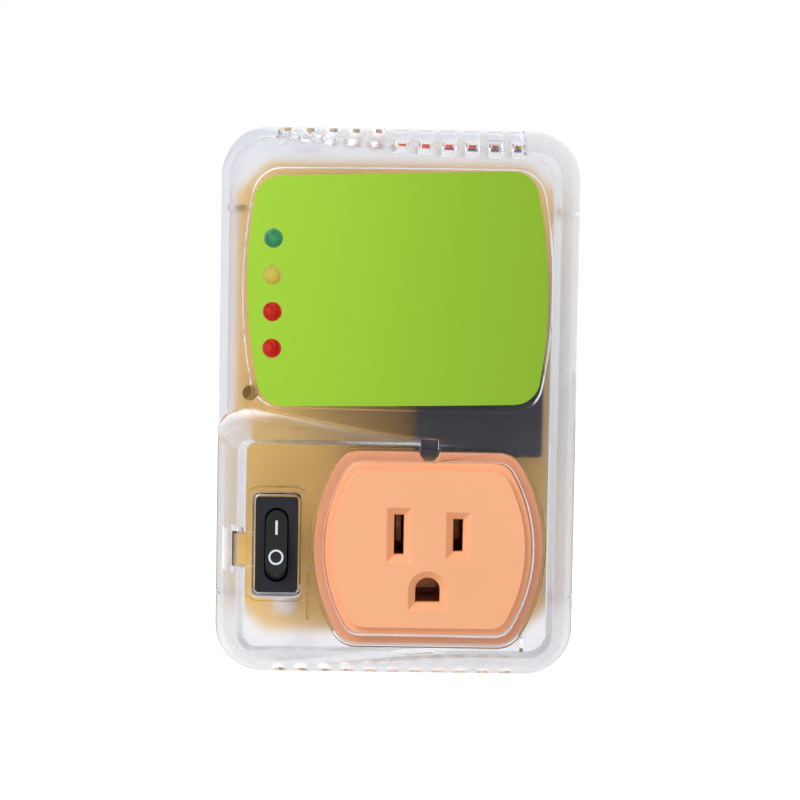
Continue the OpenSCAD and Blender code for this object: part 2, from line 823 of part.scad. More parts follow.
module board_outline() {
    c = board_chamfer;
    w = board_w / 2;
    h = board_h / 2;
    polygon([[-w, c - h], [c - w, -h], [w - c, -h], [w, c - h], [w, h - c], [w - c, h], [c - w, h], [-w, h - c]]);
}

// Straight leads from a part's underside at y through the board
module leads(points, y) {
    for (p = points) translate([p[0], 0, p[1]]) rod(lead_r, y, lead_end_y, thin_sides);
}

film_at = spread([[7, 45]])[0];
film_size = [24, 9.6, 14];
film_r = 3;
film_lead_reach = 8;
film_leads = [for (x = sides) [film_at[0] + x * film_lead_reach, film_at[1]]];
varistor_at = spread([[25, 34]])[0];
varistor_r = 7;
varistor_t = 4.4;
varistor_lift = 1.5;
varistor_lead_reach = 3.75;
varistor_leads = [for (x = sides) [varistor_at[0] + x * varistor_lead_reach, varistor_at[1]]];
elco_places = spread([[-4.6, 9], [-4.6, 33.2]]);
elco_r = 4;
elco_h = 12;
elco_groove = 0.35;
elco_foot = 2;
elco_lead_pitch = 3.5;
diode_places = spread([for (z = [28.3, 31.2, 34.2, 37.2]) [9, z]]);
diode_r = 1.35;
diode_l = 5.2;
resistor_places = spread([for (z = [38.2, 41, 43.8, 46.6]) [-15, z]]);
resistor_r = 1.15;
resistor_l = 6.3;
axial_span = 10;
axial_lift = 0.3;
chip_at = spread([[-14, 25]])[0];
chip_size = [6.4, 19.3, 3.3];
chip_lift = 0.5;
chip_rows = 7.62;
chip_pitch = 2.54;
chip_pins = 7;
chip_leg = 0.5;
transistor_at = spread([[-4, 24.5]])[0];
transistor_r = 2.3;
transistor_h = 4.6;
transistor_lift = 2;
transistor_flat = 1.2;
trimmer_places = spread([[-13.4, 8], [-21.5, 6]]);
trimmer_w = 6.4;
trimmer_h = 4.6;
trimmer_dial_r = 2.2;
trimmer_dial_h = 0.5;
trimmer_lead_pitch = 2.54;

elco_leads = [for (p = elco_places) for (x = sides) [p[0] + x * elco_lead_pitch / 2, p[1]]];
axial_leads = concat(
    [for (p = diode_places) for (x = sides) [p[0] + x * axial_span / 2, p[1]]],
    [for (p = resistor_places) for (x = sides) [p[0] + x * axial_span / 2, p[1]]]);
chip_leads = [for (i = [0:chip_pins - 1]) for (x = sides)
    [chip_at[0] + x * chip_rows / 2, chip_at[1] + (i - (chip_pins - 1) / 2) * chip_pitch]];
transistor_leads = [for (x = [-1, 0, 1]) [transistor_at[0] + x * trimmer_lead_pitch / 2, transistor_at[1]]];
trimmer_leads = [for (p = trimmer_places) for (x = [-1, 0, 1])
    [p[0] + x * trimmer_lead_pitch, p[1] + abs(x) * trimmer_lead_pitch / 2]];
led_lead_points = [for (i = [0:len(led_names) - 1]) for (x = sides) [led_at(i) + x * led_leg_pitch / 2, led_z(i)]];
relay_points = [for (s = relay_pin_shares) [relay_x + s[0] * relay_w, relay_z + s[1] * relay_l]];

module circuit_board() {
    color([0.78, 0.65, 0.39]) at_middle() difference() {
        slab(board_front_y, board_back_y) board_outline();
        for (p = screw_places) translate([p[0], 0, p[1]]) rod(screw_hole_r, board_front_y - over, board_back_y + over);
        translate([0, 0, plug_rise]) plug_tails(board_front_y - over, board_back_y + over, fit_gap);
        translate([socket_x, 0, socket_z]) socket_tails(board_front_y - over, board_back_y + over, fit_gap);
        for (p = concat(film_leads, varistor_leads, elco_leads, axial_leads, chip_leads, transistor_leads,
                trimmer_leads, led_lead_points))
            translate([p[0], 0, p[1]]) rod(lead_r + lead_gap, board_front_y - over, board_back_y + over, thin_sides);
        for (p = relay_points) translate([p[0], 0, p[1]])
            rod(relay_pin_r + lead_gap, board_front_y - over, board_back_y + over, thin_sides);
    }
}

module board_screws() {
    color("silver") at_middle() for (p = screw_places) translate([p[0], 0, p[1]])
        screw(board_front_y, screw_head_r, screw_head_h, screw_r, screw_len);
}

// Outlet
contact_t = 0.5;
contact_front_y = face_y + socket_floor + fit_gap;
contact_throat_y = contact_front_y + 5;
contact_base_y = socket_split_y - contact_t - fit_gap;
socket_tail = [3, 0.8];
neutral_contact_w = 8;
hot_contact_w = 6.6;
ground_contact_w = 5;
blade_spread = [1.5, 0.55, 2.2];
ground_spread = [2.7, 2.15, 2.9];
ground_pocket = [8.4, 8];
socket_screw_r = 1.1;
socket_screw_len = 7;
socket_head_r = 2.2;
socket_head_h = 1.2;
socket_pins = [[-blade_pitch / 2, blade_line], [blade_pitch / 2, blade_line], [0, ground_hole_z]];

module socket_tails(low_y, high_y, grow) {
    for (p = socket_pins)
        block([p[0] - socket_tail[0] / 2 - grow, low_y, p[1] - socket_tail[1] / 2 - grow],
            [p[0] + socket_tail[0] / 2 + grow, high_y, p[1] + socket_tail[1] / 2 + grow]);
}

// A recess that narrows from a rectangle on the face to the slot behind it
module funnel(w, h) {
    intersection() {
        translate([0, 0, -h]) linear_extrude(height = 2 * h) polygon([
            [-w / 2 - bevel, face_y], [-w / 2, face_y + bevel], [w / 2, face_y + bevel],
            [w / 2 + bevel, face_y], [w / 2 + bevel + over, face_y - over], [-w / 2 - bevel - over, face_y - over]]);
        rotate([90, 0, 90]) translate([0, 0, -h]) linear_extrude(height = 2 * h) polygon([
            [face_y, -h / 2 - bevel], [face_y + bevel, -h / 2], [face_y + bevel, h / 2],
            [face_y, h / 2 + bevel], [face_y - over, h / 2 + bevel + over], [face_y - over, -h / 2 - bevel - over]]);
    }
}

module slot(x, h) {
    translate([x, 0, blade_line]) {
        slab(face_y - over, face_y + socket_floor + over) square([slot_w, h], center = true);
        funnel(slot_w, h);
        slab(face_y + socket_floor, socket_split_y + over) square([socket_pocket_w, socket_pocket_h], center = true);
    }
}

// Ground hole: a half circle over a square, both funnelled
module ground_opening() {
    r = ground_hole / 2;
    translate([0, 0, ground_hole_z]) {
        rod(r, face_y - over, face_y + socket_floor + over);
        translate([0, face_y + bevel, 0]) rotate([90, 0, 0])
            cylinder(r1 = r, r2 = r + bevel + over, h = bevel + over, $fn = round_sides);
        translate([0, 0, -r / 2])
            slab(face_y - over, face_y + socket_floor + over) square([2 * r, r], center = true);
        intersection() {
            funnel(2 * r, 2 * r);
            block([-2 * ground_hole, face_y - over, -2 * ground_hole], [2 * ground_hole, face_y + bevel, 0]);
        }
        translate([0, 0, ground_pocket[1] / 2 - ground_hole / 2 - over])
            slab(face_y + socket_floor, socket_split_y + over) square(ground_pocket, center = true);
    }
}

module socket_body_outline(shrink) {
    translate([0, socket_body_z])
        round_rect(socket_body_w - 2 * shrink, socket_body_h - 2 * shrink, socket_body_r);
}

module at_socket_screws() {
    for (x = sides) translate([x * socket_screw_x, 0, socket_screw_z]) children();
}

module socket_face() {
    color([0.99, 0.73, 0.55]) at_socket() difference() {
        union() {
            slab(inner_y, flange_back_y) flange_outline(0);
            slab(front_y + seat_gap, flange_back_y) opening_outline(seat_gap);
            slab(face_y, flange_back_y) polygon(barrel(face_w, face_h, face_side_r, face_r));
            slab(inner_y, socket_split_y) socket_body_outline(0);
        }
        slot(-blade_pitch / 2, neutral_slot_h);
        slot(blade_pitch / 2, hot_slot_h);
        ground_opening();
        translate([0, 0, flange_h / 2]) rod(notch_r, inner_y - over, flange_back_y + over);
        at_socket_screws() rod(socket_screw_r + pilot_gap, socket_split_y - socket_screw_len, socket_split_y + over);
    }
}

module socket_back() {
    color([0.93, 0.68, 0.5]) at_socket() difference() {
        slab(socket_split_y, socket_back_y) socket_body_outline(0);
        socket_tails(socket_split_y - over, socket_back_y + over, fit_gap);
        at_socket_screws() {
            rod(socket_screw_r + fit_gap, socket_split_y - over, socket_back_y + over);
            rod(socket_head_r + fit_gap, socket_back_y - socket_head_h, socket_back_y + over);
        }
    }
}

module socket_screws() {
    color("silver") at_socket() at_socket_screws() translate([0, socket_back_y - socket_head_h, 0]) rotate([180, 0, 0])
        screw(0, socket_head_r, socket_head_h, socket_screw_r, socket_screw_len - socket_head_h);
}

// Two sprung leaves joined by a web, with a tail to the board
module contact(spread, w) {
    path = [[spread[0], contact_front_y], [spread[1], contact_throat_y], [spread[2], contact_base_y]];
    for (m = [0, 1]) mirror([m, 0, 0]) translate([0, 0, -w / 2]) linear_extrude(height = w) polygon(concat(
        path, [[0, contact_base_y], [0, contact_base_y + contact_t], [spread[2] + contact_t, contact_base_y + contact_t]],
        [[spread[1] + contact_t, contact_throat_y], [spread[0] + contact_t, contact_front_y]]));
    block([-socket_tail[0] / 2, contact_base_y, -socket_tail[1] / 2],
        [socket_tail[0] / 2, lead_end_y, socket_tail[1] / 2]);
}

module neutral_contact() {
    color([0.78, 0.5, 0.3]) at_socket() translate([socket_pins[0][0], 0, socket_pins[0][1]])
        contact(blade_spread, neutral_contact_w);
}

module hot_contact() {
    color([0.78, 0.5, 0.3]) at_socket() translate([socket_pins[1][0], 0, socket_pins[1][1]])
        contact(blade_spread, hot_contact_w);
}

module ground_contact() {
    color([0.78, 0.5, 0.3]) at_socket() translate([socket_pins[2][0], 0, socket_pins[2][1]])
        contact(ground_spread, ground_contact_w);
}

// Rocker switch
rocker_under = 1.5;
rocker_room = 3.2;
lever_slope = 0.25;
lever_tilt = rocker_tilt * lever_ratio_share;
lever_pivot_y = lever_y + lever_t;
pad_contact_y = lever_pivot_y - 0.4;
plunger_bore_gap = 0.15;
spring_start = 1.4;
spring_len = 2.2;

module switch_body() {
    color([0.16, 0.16, 0.18]) at_switch() difference() {
        union() {
            slab(bezel_y, pocket_floor_y) round_rect(bezel_w, bezel_h, bezel_r);
            slab(bezel_y + fit_gap, switch_split_y) square([switch_body_w, switch_body_h], center = true);
        }
        slab(bezel_y - over, pivot_y + rocker_room + over) obround(rocker_w + 2 * rocker_gap, rocker_slot_h);
        slab(pivot_y + rocker_room, switch_split_y + over)
            square([switch_body_w - 2 * switch_wall, switch_body_h - 2 * switch_wall], center = true);
        translate([0, pivot_y, 0]) rotate([0, 90, 0])
            cylinder(r = pivot_r + pilot_gap, h = rocker_w + 2 * (pivot_len + rocker_gap), center = true,
                $fn = thin_sides);
    }
}

module switch_base() {
    color([0.16, 0.16, 0.18]) at_switch() difference() {
        slab(switch_split_y, switch_back_y) square([switch_body_w, switch_body_h], center = true);
        for (z = [0, -terminal_z]) translate([0, 0, z])
            slab(switch_split_y - over, switch_back_y + over)
                square([terminal_w + 2 * pilot_gap, terminal_t + 2 * pilot_gap], center = true);
    }
}

module in_rocker() {
    at_switch() translate([0, pivot_y, 0]) rotate([-rocker_tilt, 0, 0]) children();
}

module switch_rocker() {
    color([0.13, 0.13, 0.14]) in_rocker() difference() {
        union() {
            difference() {
                rotate([0, 90, 0]) rotate_extrude($fn = round_sides) polygon(concat([[0, -rocker_w / 2]],
                    arc(rocker_r - rocker_w / 2, 0, rocker_w / 2, -90, 90, edge_steps * 3), [[0, rocker_w / 2]]));
                block([-rocker_w, rocker_under, -2 * rocker_r], [rocker_w, 2 * rocker_r, 2 * rocker_r]);
                translate([-rocker_w, -rocker_face - rocker_dish_r, 0]) rotate([0, 90, 0])
                    cylinder(r = rocker_dish_r, h = 2 * rocker_w, $fn = 360);
            }
            block([-stem_w / 2, 0, -stem_w / 2], [stem_w / 2, stem_len, stem_w / 2]);
            rotate([0, 90, 0]) cylinder(r = pivot_r, h = rocker_w + 2 * pivot_len, center = true, $fn = thin_sides);
        }
        rod(plunger_r + plunger_bore_gap, spring_start, stem_len + over, thin_sides);
    }
}

module switch_plunger() {
    color("silver") in_rocker() {
        rod(plunger_r, spring_start + spring_len, plunger_reach - plunger_r, thin_sides);
        translate([0, plunger_reach - plunger_r, 0]) sphere(r = plunger_r, $fn = thin_sides);
    }
}

// One tube along a path: the path and a direction it never runs along
function unit(v) = v / norm(v);
function tube_ring(p, t, ref, r, n) = let(u = unit(cross(t, ref)), v = unit(cross(u, t)))
    [for (k = [0:n - 1]) let(a = 360 * k / n) p + r * (cos(a) * u + sin(a) * v)];
module tube(path, r, n, ref) {
    last = len(path) - 1;
    points = [for (i = [0:last])
        each tube_ring(path[i], unit(path[min(i + 1, last)] - path[max(i - 1, 0)]), ref, r, n)];
    walls = [for (i = [0:last - 1]) for (k = [0:n - 1]) let(m = (k + 1) % n)
        each [[i * n + k, i * n + m, i * n + n + m], [i * n + k, i * n + n + m, i * n + n + k]]];
    ends = [for (k = [1:n - 2]) each [[0, k + 1, k], [last * n, last * n + k, last * n + k + 1]]];
    polyhedron(points = points, faces = concat(walls, ends));
}

spring_rings = 8;
coil_r = plunger_r - spring_wire_r / 2;
module switch_spring() {
    steps = spring_turns * spring_rings;
    low = spring_start + spring_wire_r + pilot_gap;
    rise = spring_len - 2 * (spring_wire_r + pilot_gap);
    color("silver") in_rocker() tube([for (i = [0:steps]) let(a = 360 * i / spring_rings)
        [coil_r * cos(a), low + rise * i / steps, coil_r * sin(a)]], spring_wire_r, 6, [0, 1, 0]);
}

module switch_contact_lever() {
    tip = lever_arm * lever_slope;
    color([0.8, 0.55, 0.35]) at_switch() translate([0, lever_pivot_y, 0]) rotate([lever_tilt, 0, 0])
        rotate([90, 0, 90]) translate([0, 0, -lever_w / 2]) linear_extrude(height = lever_w) polygon([
            [-lever_t, 0], [-lever_t - tip, lever_arm], [-tip, lever_arm], [0, 0], [-tip, -lever_arm],
            [-lever_t - tip, -lever_arm]]);
}

module switch_terminals() {
    color([0.85, 0.8, 0.65]) at_switch() {
        block([-terminal_w / 2, lever_pivot_y + fit_gap, -terminal_t / 2],
            [terminal_w / 2, switch_back_y + terminal_len, terminal_t / 2]);
        block([-terminal_w / 2, pad_contact_y, -terminal_z - terminal_t / 2],
            [terminal_w / 2, switch_back_y + terminal_len, -terminal_z + terminal_t / 2]);
        block([-terminal_w / 2, pad_contact_y, -terminal_z],
            [terminal_w / 2, pad_contact_y + terminal_t, -terminal_z + terminal_w - terminal_t]);
    }
}

wire_r = 0.8;
wire_start = 2.6;
wire_shift = 2.6;
module switch_wires() {
    start_y = switch_back_y + wire_start;
    end_y = board_front_y;
    run = end_y - start_y;
    for (s = [[terminal_t / 2 + wire_r, 1, "red"], [-terminal_z - terminal_t / 2 - wire_r, -1, "black"]])
        color(s[2]) at_switch() tube([for (p = [[0, 0], [0.25, 0], [0.4, 0.12], [0.55, 0.5], [0.7, 0.88],
            [0.85, 1], [1, 1]]) [0, start_y + p[0] * run, s[0] + s[1] * p[1] * wire_shift]], wire_r, 8, [1, 0, 0]);
}

// Relay
relay_front_y = board_front_y - relay_h;
relay_back_y = board_front_y - relay_foot;
module relay_case() {
    color([0.12, 0.12, 0.13]) at_middle() translate([relay_x, 0, relay_z]) difference() {
        slab(relay_front_y, relay_back_y) round_rect(relay_w, relay_l, relay_edge);
        slab(relay_front_y + relay_wall, relay_back_y + over)
            square([relay_w - 2 * relay_wall, relay_l - 2 * relay_wall], center = true);
    }
}

module relay_base() {
    color([0.2, 0.2, 0.22]) at_middle() difference() {
        union() {
            translate([relay_x, 0, relay_z]) slab(relay_back_y - relay_base_t, relay_back_y)
                square([relay_w - 2 * relay_wall - 2 * pilot_gap, relay_l - 2 * relay_wall - 2 * pilot_gap],
                    center = true);
            for (p = relay_points) translate([p[0], 0, p[1]]) rod(2 * relay_pin_r, relay_back_y - over, board_front_y);
        }
        for (p = relay_points) translate([p[0], 0, p[1]])
            rod(relay_pin_r + pilot_gap, relay_back_y - relay_base_t - over, board_front_y + over, thin_sides);
    }
}

module relay_pins() {
    color("silver") at_middle() for (p = relay_points) translate([p[0], 0, p[1]])
        rod(relay_pin_r, relay_back_y - relay_base_t - relay_foot, lead_end_y, thin_sides);
}

// Other parts on the board
module film_capacitor() {
    half = film_size / 2;
    color([0.72, 0.16, 0.12]) at_middle() {
        hull() for (x = sides) for (y = sides) for (z = sides)
            translate([film_at[0] + x * (half[0] - film_r), board_front_y - half[2] + y * (half[2] - film_r),
                    film_at[1] + z * (half[1] - film_r)])
                sphere(r = film_r, $fn = 16);
        leads(film_leads, board_front_y - film_r);
    }
}

module varistor() {
    color([0.2, 0.35, 0.65]) at_middle() {
        translate([varistor_at[0], board_front_y - varistor_lift - varistor_r, varistor_at[1]]) {
            cylinder(r = varistor_r, h = varistor_t * 0.6, center = true, $fn = round_sides);
            cylinder(r = varistor_r - varistor_t * 0.2, h = varistor_t, center = true, $fn = round_sides);
        }
        leads(varistor_leads, board_front_y - varistor_lift - varistor_r * 0.6);
    }
}

module smoothing_capacitors() {
    color([0.15, 0.2, 0.35]) at_middle() {
        for (p = elco_places) translate([p[0], 0, p[1]]) difference() {
            rod(elco_r, board_front_y - elco_h, board_front_y);
            difference() {
                rod(elco_r + over, board_front_y - elco_foot - elco_groove, board_front_y - elco_foot + elco_groove);
                rod(elco_r - elco_groove, board_front_y - elco_foot - over, board_front_y - elco_foot + over);
            }
        }
        leads(elco_leads, board_front_y - elco_groove);
    }
}

// A part lying on the board between two bent leads
module axial(x, z, r, l) {
    y = board_front_y - axial_lift - r;
    translate([x, y, z]) {
        rotate([0, 90, 0]) cylinder(r = r, h = l, center = true, $fn = thin_sides);
        rotate([0, 90, 0]) cylinder(r = lead_r, h = axial_span, center = true, $fn = thin_sides);
        for (s = sides) translate([s * axial_span / 2, 0, 0]) {
            sphere(r = lead_r, $fn = thin_sides);
            rod(lead_r, 0, lead_end_y - y, thin_sides);
        }
    }
}

module rectifier_diodes() {
    color([0.18, 0.18, 0.2]) at_middle() for (p = diode_places) axial(p[0], p[1], diode_r, diode_l);
}

module resistors() {
    color([0.8, 0.7, 0.5]) at_middle() for (p = resistor_places) axial(p[0], p[1], resistor_r, resistor_l);
}

module timing_chip() {
    top_y = board_front_y - chip_lift - chip_size[2];
    mid_y = board_front_y - chip_lift - chip_size[2] / 2;
    color([0.12, 0.12, 0.13]) at_middle() {
        difference() {
            translate([chip_at[0], 0, chip_at[1]]) slab(top_y, board_front_y - chip_lift)
                square([chip_size[0], chip_size[1]], center = true);
            translate([chip_at[0], 0, chip_at[1] + chip_size[1] / 2]) rod(chip_leg * 2, top_y - over, top_y + chip_leg);
        }
        for (p = chip_leads) {
            s = p[0] > chip_at[0] ? 1 : -1;
            inner = chip_at[0] + s * (chip_size[0] / 2 - chip_leg);
            block([min(p[0], inner) - (s < 0 ? chip_leg / 2 : 0), mid_y, p[1] - chip_leg / 2],
                [max(p[0], inner) + (s > 0 ? chip_leg / 2 : 0), mid_y + chip_leg, p[1] + chip_leg / 2]);
            translate([p[0], 0, p[1]]) slab(mid_y, lead_end_y) square([chip_leg, chip_leg], center = true);
        }
    }
}

module relay_transistor() {
    low_y = board_front_y - transistor_lift - transistor_h;
    color([0.12, 0.12, 0.13]) at_middle() {
        translate([transistor_at[0], 0, transistor_at[1]]) difference() {
            rod(transistor_r, low_y, low_y + transistor_h);
            block([-transistor_r - over, low_y - over, transistor_flat],
                [transistor_r + over, low_y + transistor_h + over, transistor_r + over]);
        }
        leads(transistor_leads, low_y + transistor_h - lead_r);
    }
}

module trimmers() {
    top_y = board_front_y - trimmer_h;
    color([0.2, 0.4, 0.75]) at_middle() {
        for (p = trimmer_places) translate([p[0], 0, p[1]]) {
            slab(top_y, board_front_y) square([trimmer_w, trimmer_w], center = true);
            difference() {
                rod(trimmer_dial_r, top_y - trimmer_dial_h, top_y + over);
                rotate([0, 45, 0]) block([-trimmer_dial_r - over, top_y - over, -cross_w / 2],
                    [trimmer_dial_r + over, top_y, cross_w / 2]);
            }
        }
        leads(trimmer_leads, board_front_y - lead_r);
    }
}

module led(i) {
    r = led_d / 2;
    base_y = led_tip_y + led_length;
    at_middle() translate([led_at(i), 0, led_z(i)]) {
        translate([0, led_tip_y + r, 0]) sphere(r = r, $fn = round_sides);
        rod(r, led_tip_y + r, base_y);
        rod(r + led_rim, base_y - led_rim_h, base_y);
    }
}

module led_green() {
    color([0.25, 0.6, 0.37]) led(0);
}

module led_yellow() {
    color([0.82, 0.75, 0.31]) led(1);
}

module led_red_upper() {
    color([0.7, 0.15, 0.11]) led(2);
}

module led_red_lower() {
    color([0.7, 0.15, 0.11]) led(3);
}

module led_legs() {
    color("silver") at_middle() for (p = led_lead_points) translate([p[0], 0, p[1]])
        slab(led_tip_y + led_length, lead_end_y) square([led_leg, led_leg], center = true);
}

front_cover();
rear_cover();
front_label();
circuit_board();
board_screws();
socket_face();
socket_back();
socket_screws();
neutral_contact();
hot_contact();
ground_contact();
switch_body();
switch_base();
switch_rocker();
switch_plunger();
switch_spring();
switch_contact_lever();
switch_terminals();
switch_wires();
neutral_blade();
hot_blade();
ground_pin();
blade_retainer();
retainer_screws();
relay_case();
relay_base();
relay_pins();
film_capacitor();
varistor();
smoothing_capacitors();
rectifier_diodes();
resistors();
timing_chip();
relay_transistor();
trimmers();
led_green();
led_yellow();
led_red_upper();
led_red_lower();
led_legs();
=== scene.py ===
import math

import bpy
import numpy as np
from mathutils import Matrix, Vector
from mathutils.bvhtree import BVHTree


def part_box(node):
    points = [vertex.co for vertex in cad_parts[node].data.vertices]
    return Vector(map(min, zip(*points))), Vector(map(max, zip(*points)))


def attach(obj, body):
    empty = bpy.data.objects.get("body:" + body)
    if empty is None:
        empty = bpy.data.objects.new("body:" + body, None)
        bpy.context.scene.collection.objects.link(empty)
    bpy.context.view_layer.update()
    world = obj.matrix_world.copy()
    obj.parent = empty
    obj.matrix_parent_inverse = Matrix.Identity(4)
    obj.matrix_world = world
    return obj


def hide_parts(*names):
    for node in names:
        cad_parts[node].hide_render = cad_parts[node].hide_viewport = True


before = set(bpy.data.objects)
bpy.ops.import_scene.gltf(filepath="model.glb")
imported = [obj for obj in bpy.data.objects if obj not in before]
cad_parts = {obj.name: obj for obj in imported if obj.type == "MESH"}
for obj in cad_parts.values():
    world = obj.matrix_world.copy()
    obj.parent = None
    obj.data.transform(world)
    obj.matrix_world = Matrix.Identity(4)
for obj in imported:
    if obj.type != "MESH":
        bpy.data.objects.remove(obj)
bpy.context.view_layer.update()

bl_info = {
    "name": "Plug-in voltage protector",
    "version": (1, 0, 0),
    "blender": (4, 5, 0),
    "location": "3D View > Sidebar > Protector",
    "description": "Dresses the packed voltage protector: clear shell, label, outlet, switch, lamps "
        "and board",
    "category": "Object",
}

MM = 0.001
HOUSING = "housing"
FRONT_LOW, FRONT_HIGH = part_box("front_cover")
MIDDLE_Z = (FRONT_LOW.z + FRONT_HIGH.z) / 2
FRONT_Y = FRONT_LOW.y

# The housing, in mm about its middle: half its width and height, its corners, its front and its seam
HALF_W, HALF_H = 39, 59.75
CORNER = 11
FRONT = -40
SEAM = -9
# The clear plastic: refraction, tint of what it mirrors, and the bounce after which rays go straight on
CLEAR_IOR = 1.52
MIRROR_TINT = (0.3, 0.29, 0.31, 1)
LAST_BOUNCE = 3.5
# The camera: its aim (m off the front's middle), how far right and up it stands per m, its roll (degrees)
AIM, EYE, ROLL = (0.00036, 0.00109), (-0.021, 0.056), 1.0


# Settings


class HousingSettings(bpy.types.PropertyGroup):
    wall: bpy.props.FloatProperty(name="Wall", description="Thickness of the side walls",
        default=2 * MM, unit="LENGTH")
    front_wall: bpy.props.FloatProperty(name="Front wall", description="Thickness of the front wall",
        default=2.2 * MM, unit="LENGTH")
    shoulder_in: bpy.props.FloatProperty(name="Shoulder", description="How far the shoulder draws in",
        default=5.5 * MM, unit="LENGTH")
    label_turn: bpy.props.FloatProperty(name="Label turn",
        description="How far the label is turned, in degrees", default=1.6, min=-2, max=2)
    frost: bpy.props.FloatProperty(name="Frost", description="Roughness of the frosted inside of the front",
        default=0.36, min=0, max=1)


class FinishSettings(bpy.types.PropertyGroup):
    clear: bpy.props.FloatVectorProperty(name="Clear plastic", description="Tint of the clear shell",
        default=(0.897, 0.904, 0.932), size=3, subtype="COLOR")
    label: bpy.props.FloatVectorProperty(name="Label", description="Green of the label film",
        default=(0.295, 0.54, 0.025), size=3, subtype="COLOR")
    peach: bpy.props.FloatVectorProperty(name="Outlet", description="Peach of the outlet face",
        default=(0.97, 0.46, 0.235), size=3, subtype="COLOR")
    board: bpy.props.FloatVectorProperty(name="Board", description="Tan of the circuit board",
        default=(0.56, 0.335, 0.078), size=3, subtype="COLOR")


class StageSettings(bpy.types.PropertyGroup):
    lens: bpy.props.FloatProperty(name="Lens", description="Focal length on a 36 mm sensor",
        default=94.86)
    distance: bpy.props.FloatProperty(name="Distance", description="Camera to the front of the housing",
        default=0.45, unit="LENGTH")
    key: bpy.props.FloatProperty(name="Key light", description="Power of the key light", default=4.65)
    fill: bpy.props.FloatProperty(name="Fill light", description="Power of the fill light", default=0.5)
    ambient: bpy.props.FloatProperty(name="Ambient", description="Strength of the world's light",
        default=0.4)


# Materials


def start_material(name):
    material = bpy.data.materials.new(name)
    material.use_nodes = True
    tree = material.node_tree
    return material, tree, tree.nodes["Principled BSDF"]


def add_noise(tree, scale, detail=3.0, stretch=None):
    coords = tree.nodes.new("ShaderNodeTexCoord")
    noise = tree.nodes.new("ShaderNodeTexNoise")
    noise.inputs["Scale"].default_value = scale
    noise.inputs["Detail"].default_value = detail
    if stretch:
        mapping = tree.nodes.new("ShaderNodeMapping")
        mapping.inputs["Scale"].default_value = stretch
        tree.links.new(coords.outputs["Object"], mapping.inputs["Vector"])
        tree.links.new(mapping.outputs["Vector"], noise.inputs["Vector"])
    else:
        tree.links.new(coords.outputs["Object"], noise.inputs["Vector"])
    return noise


def add_ramp(tree, source, low, high, start=0.35, end=0.65):
    ramp = tree.nodes.new("ShaderNodeValToRGB")
    ramp.color_ramp.elements[0].position = start
    ramp.color_ramp.elements[1].position = end
    ramp.color_ramp.elements[0].color = low
    ramp.color_ramp.elements[1].color = high
    tree.links.new(source, ramp.inputs["Fac"])
    return ramp


def in_mm(length):
    return round(length / MM, 4)


def tone(colour, factor):
    return tuple(min(1.0, max(0.0, c * factor)) for c in colour[:3]) + (1.0,)


def grey(level):
    return (level,) * 3 + (1,)


def opaque(colour):
    return tuple(colour[:3]) + (1.0,)


def add_larger(tree, first, second):
    """The larger of two values."""
    node = tree.nodes.new("ShaderNodeMath")
    node.operation = "MAXIMUM"
    tree.links.new(first, node.inputs[0])
    tree.links.new(second, node.inputs[1])
    return node.outputs["Value"]


def add_mix(tree, share, first, second, output):
    """Mixes two shaders and sends the result to the output node."""
    mix = tree.nodes.new("ShaderNodeMixShader")
    tree.links.new(share, mix.inputs["Fac"])
    tree.links.new(first, mix.inputs[1])
    tree.links.new(second, mix.inputs[2])
    tree.links.new(mix.outputs["Shader"], tree.nodes[output].inputs["Surface"])


def add_bump(tree, bsdf, source, strength, depth):
    bump = tree.nodes.new("ShaderNodeBump")
    bump.inputs["Strength"].default_value = strength
    bump.inputs["Distance"].default_value = depth
    tree.links.new(source, bump.inputs["Height"])
    tree.links.new(bump.outputs["Normal"], bsdf.inputs["Normal"])


def moulded_plastic(name, colour, roughness, variation=0.04, grain=900.0, depth=0.00002,
        strength=0.25, gloss=0.5):
    """Opaque plastic with a slight drift of colour and a fine moulded grain."""
    material, tree, bsdf = start_material(name)
    drift = add_noise(tree, 60.0)
    ramp = add_ramp(tree, drift.outputs["Fac"], tone(colour, 1 - variation), tone(colour, 1 + variation))
    tree.links.new(ramp.outputs["Color"], bsdf.inputs["Base Color"])
    fine = add_noise(tree, grain, 4.0)
    rough = add_ramp(tree, fine.outputs["Fac"], grey(roughness * 0.85), grey(min(1, roughness * 1.12)))
    tree.links.new(rough.outputs["Color"], bsdf.inputs["Roughness"])
    bsdf.inputs["Specular IOR Level"].default_value = gloss
    add_bump(tree, bsdf, fine.outputs["Fac"], strength, depth)
    return material


def plated_metal(name, colour, roughness, stretch=(1, 8, 1)):
    """Bright metal with fine rolling lines."""
    material, tree, bsdf = start_material(name)
    lines = add_noise(tree, 400.0, 4.0, stretch)
    ramp = add_ramp(tree, lines.outputs["Fac"], tone(colour, 0.9), tone(colour, 1.05))
    tree.links.new(ramp.outputs["Color"], bsdf.inputs["Base Color"])
    rough = add_ramp(tree, lines.outputs["Fac"], grey(roughness * 0.8), grey(roughness * 1.3))
    tree.links.new(rough.outputs["Color"], bsdf.inputs["Roughness"])
    bsdf.inputs["Metallic"].default_value = 1.0
    add_bump(tree, bsdf, lines.outputs["Fac"], 0.15, 0.00002)
    return material


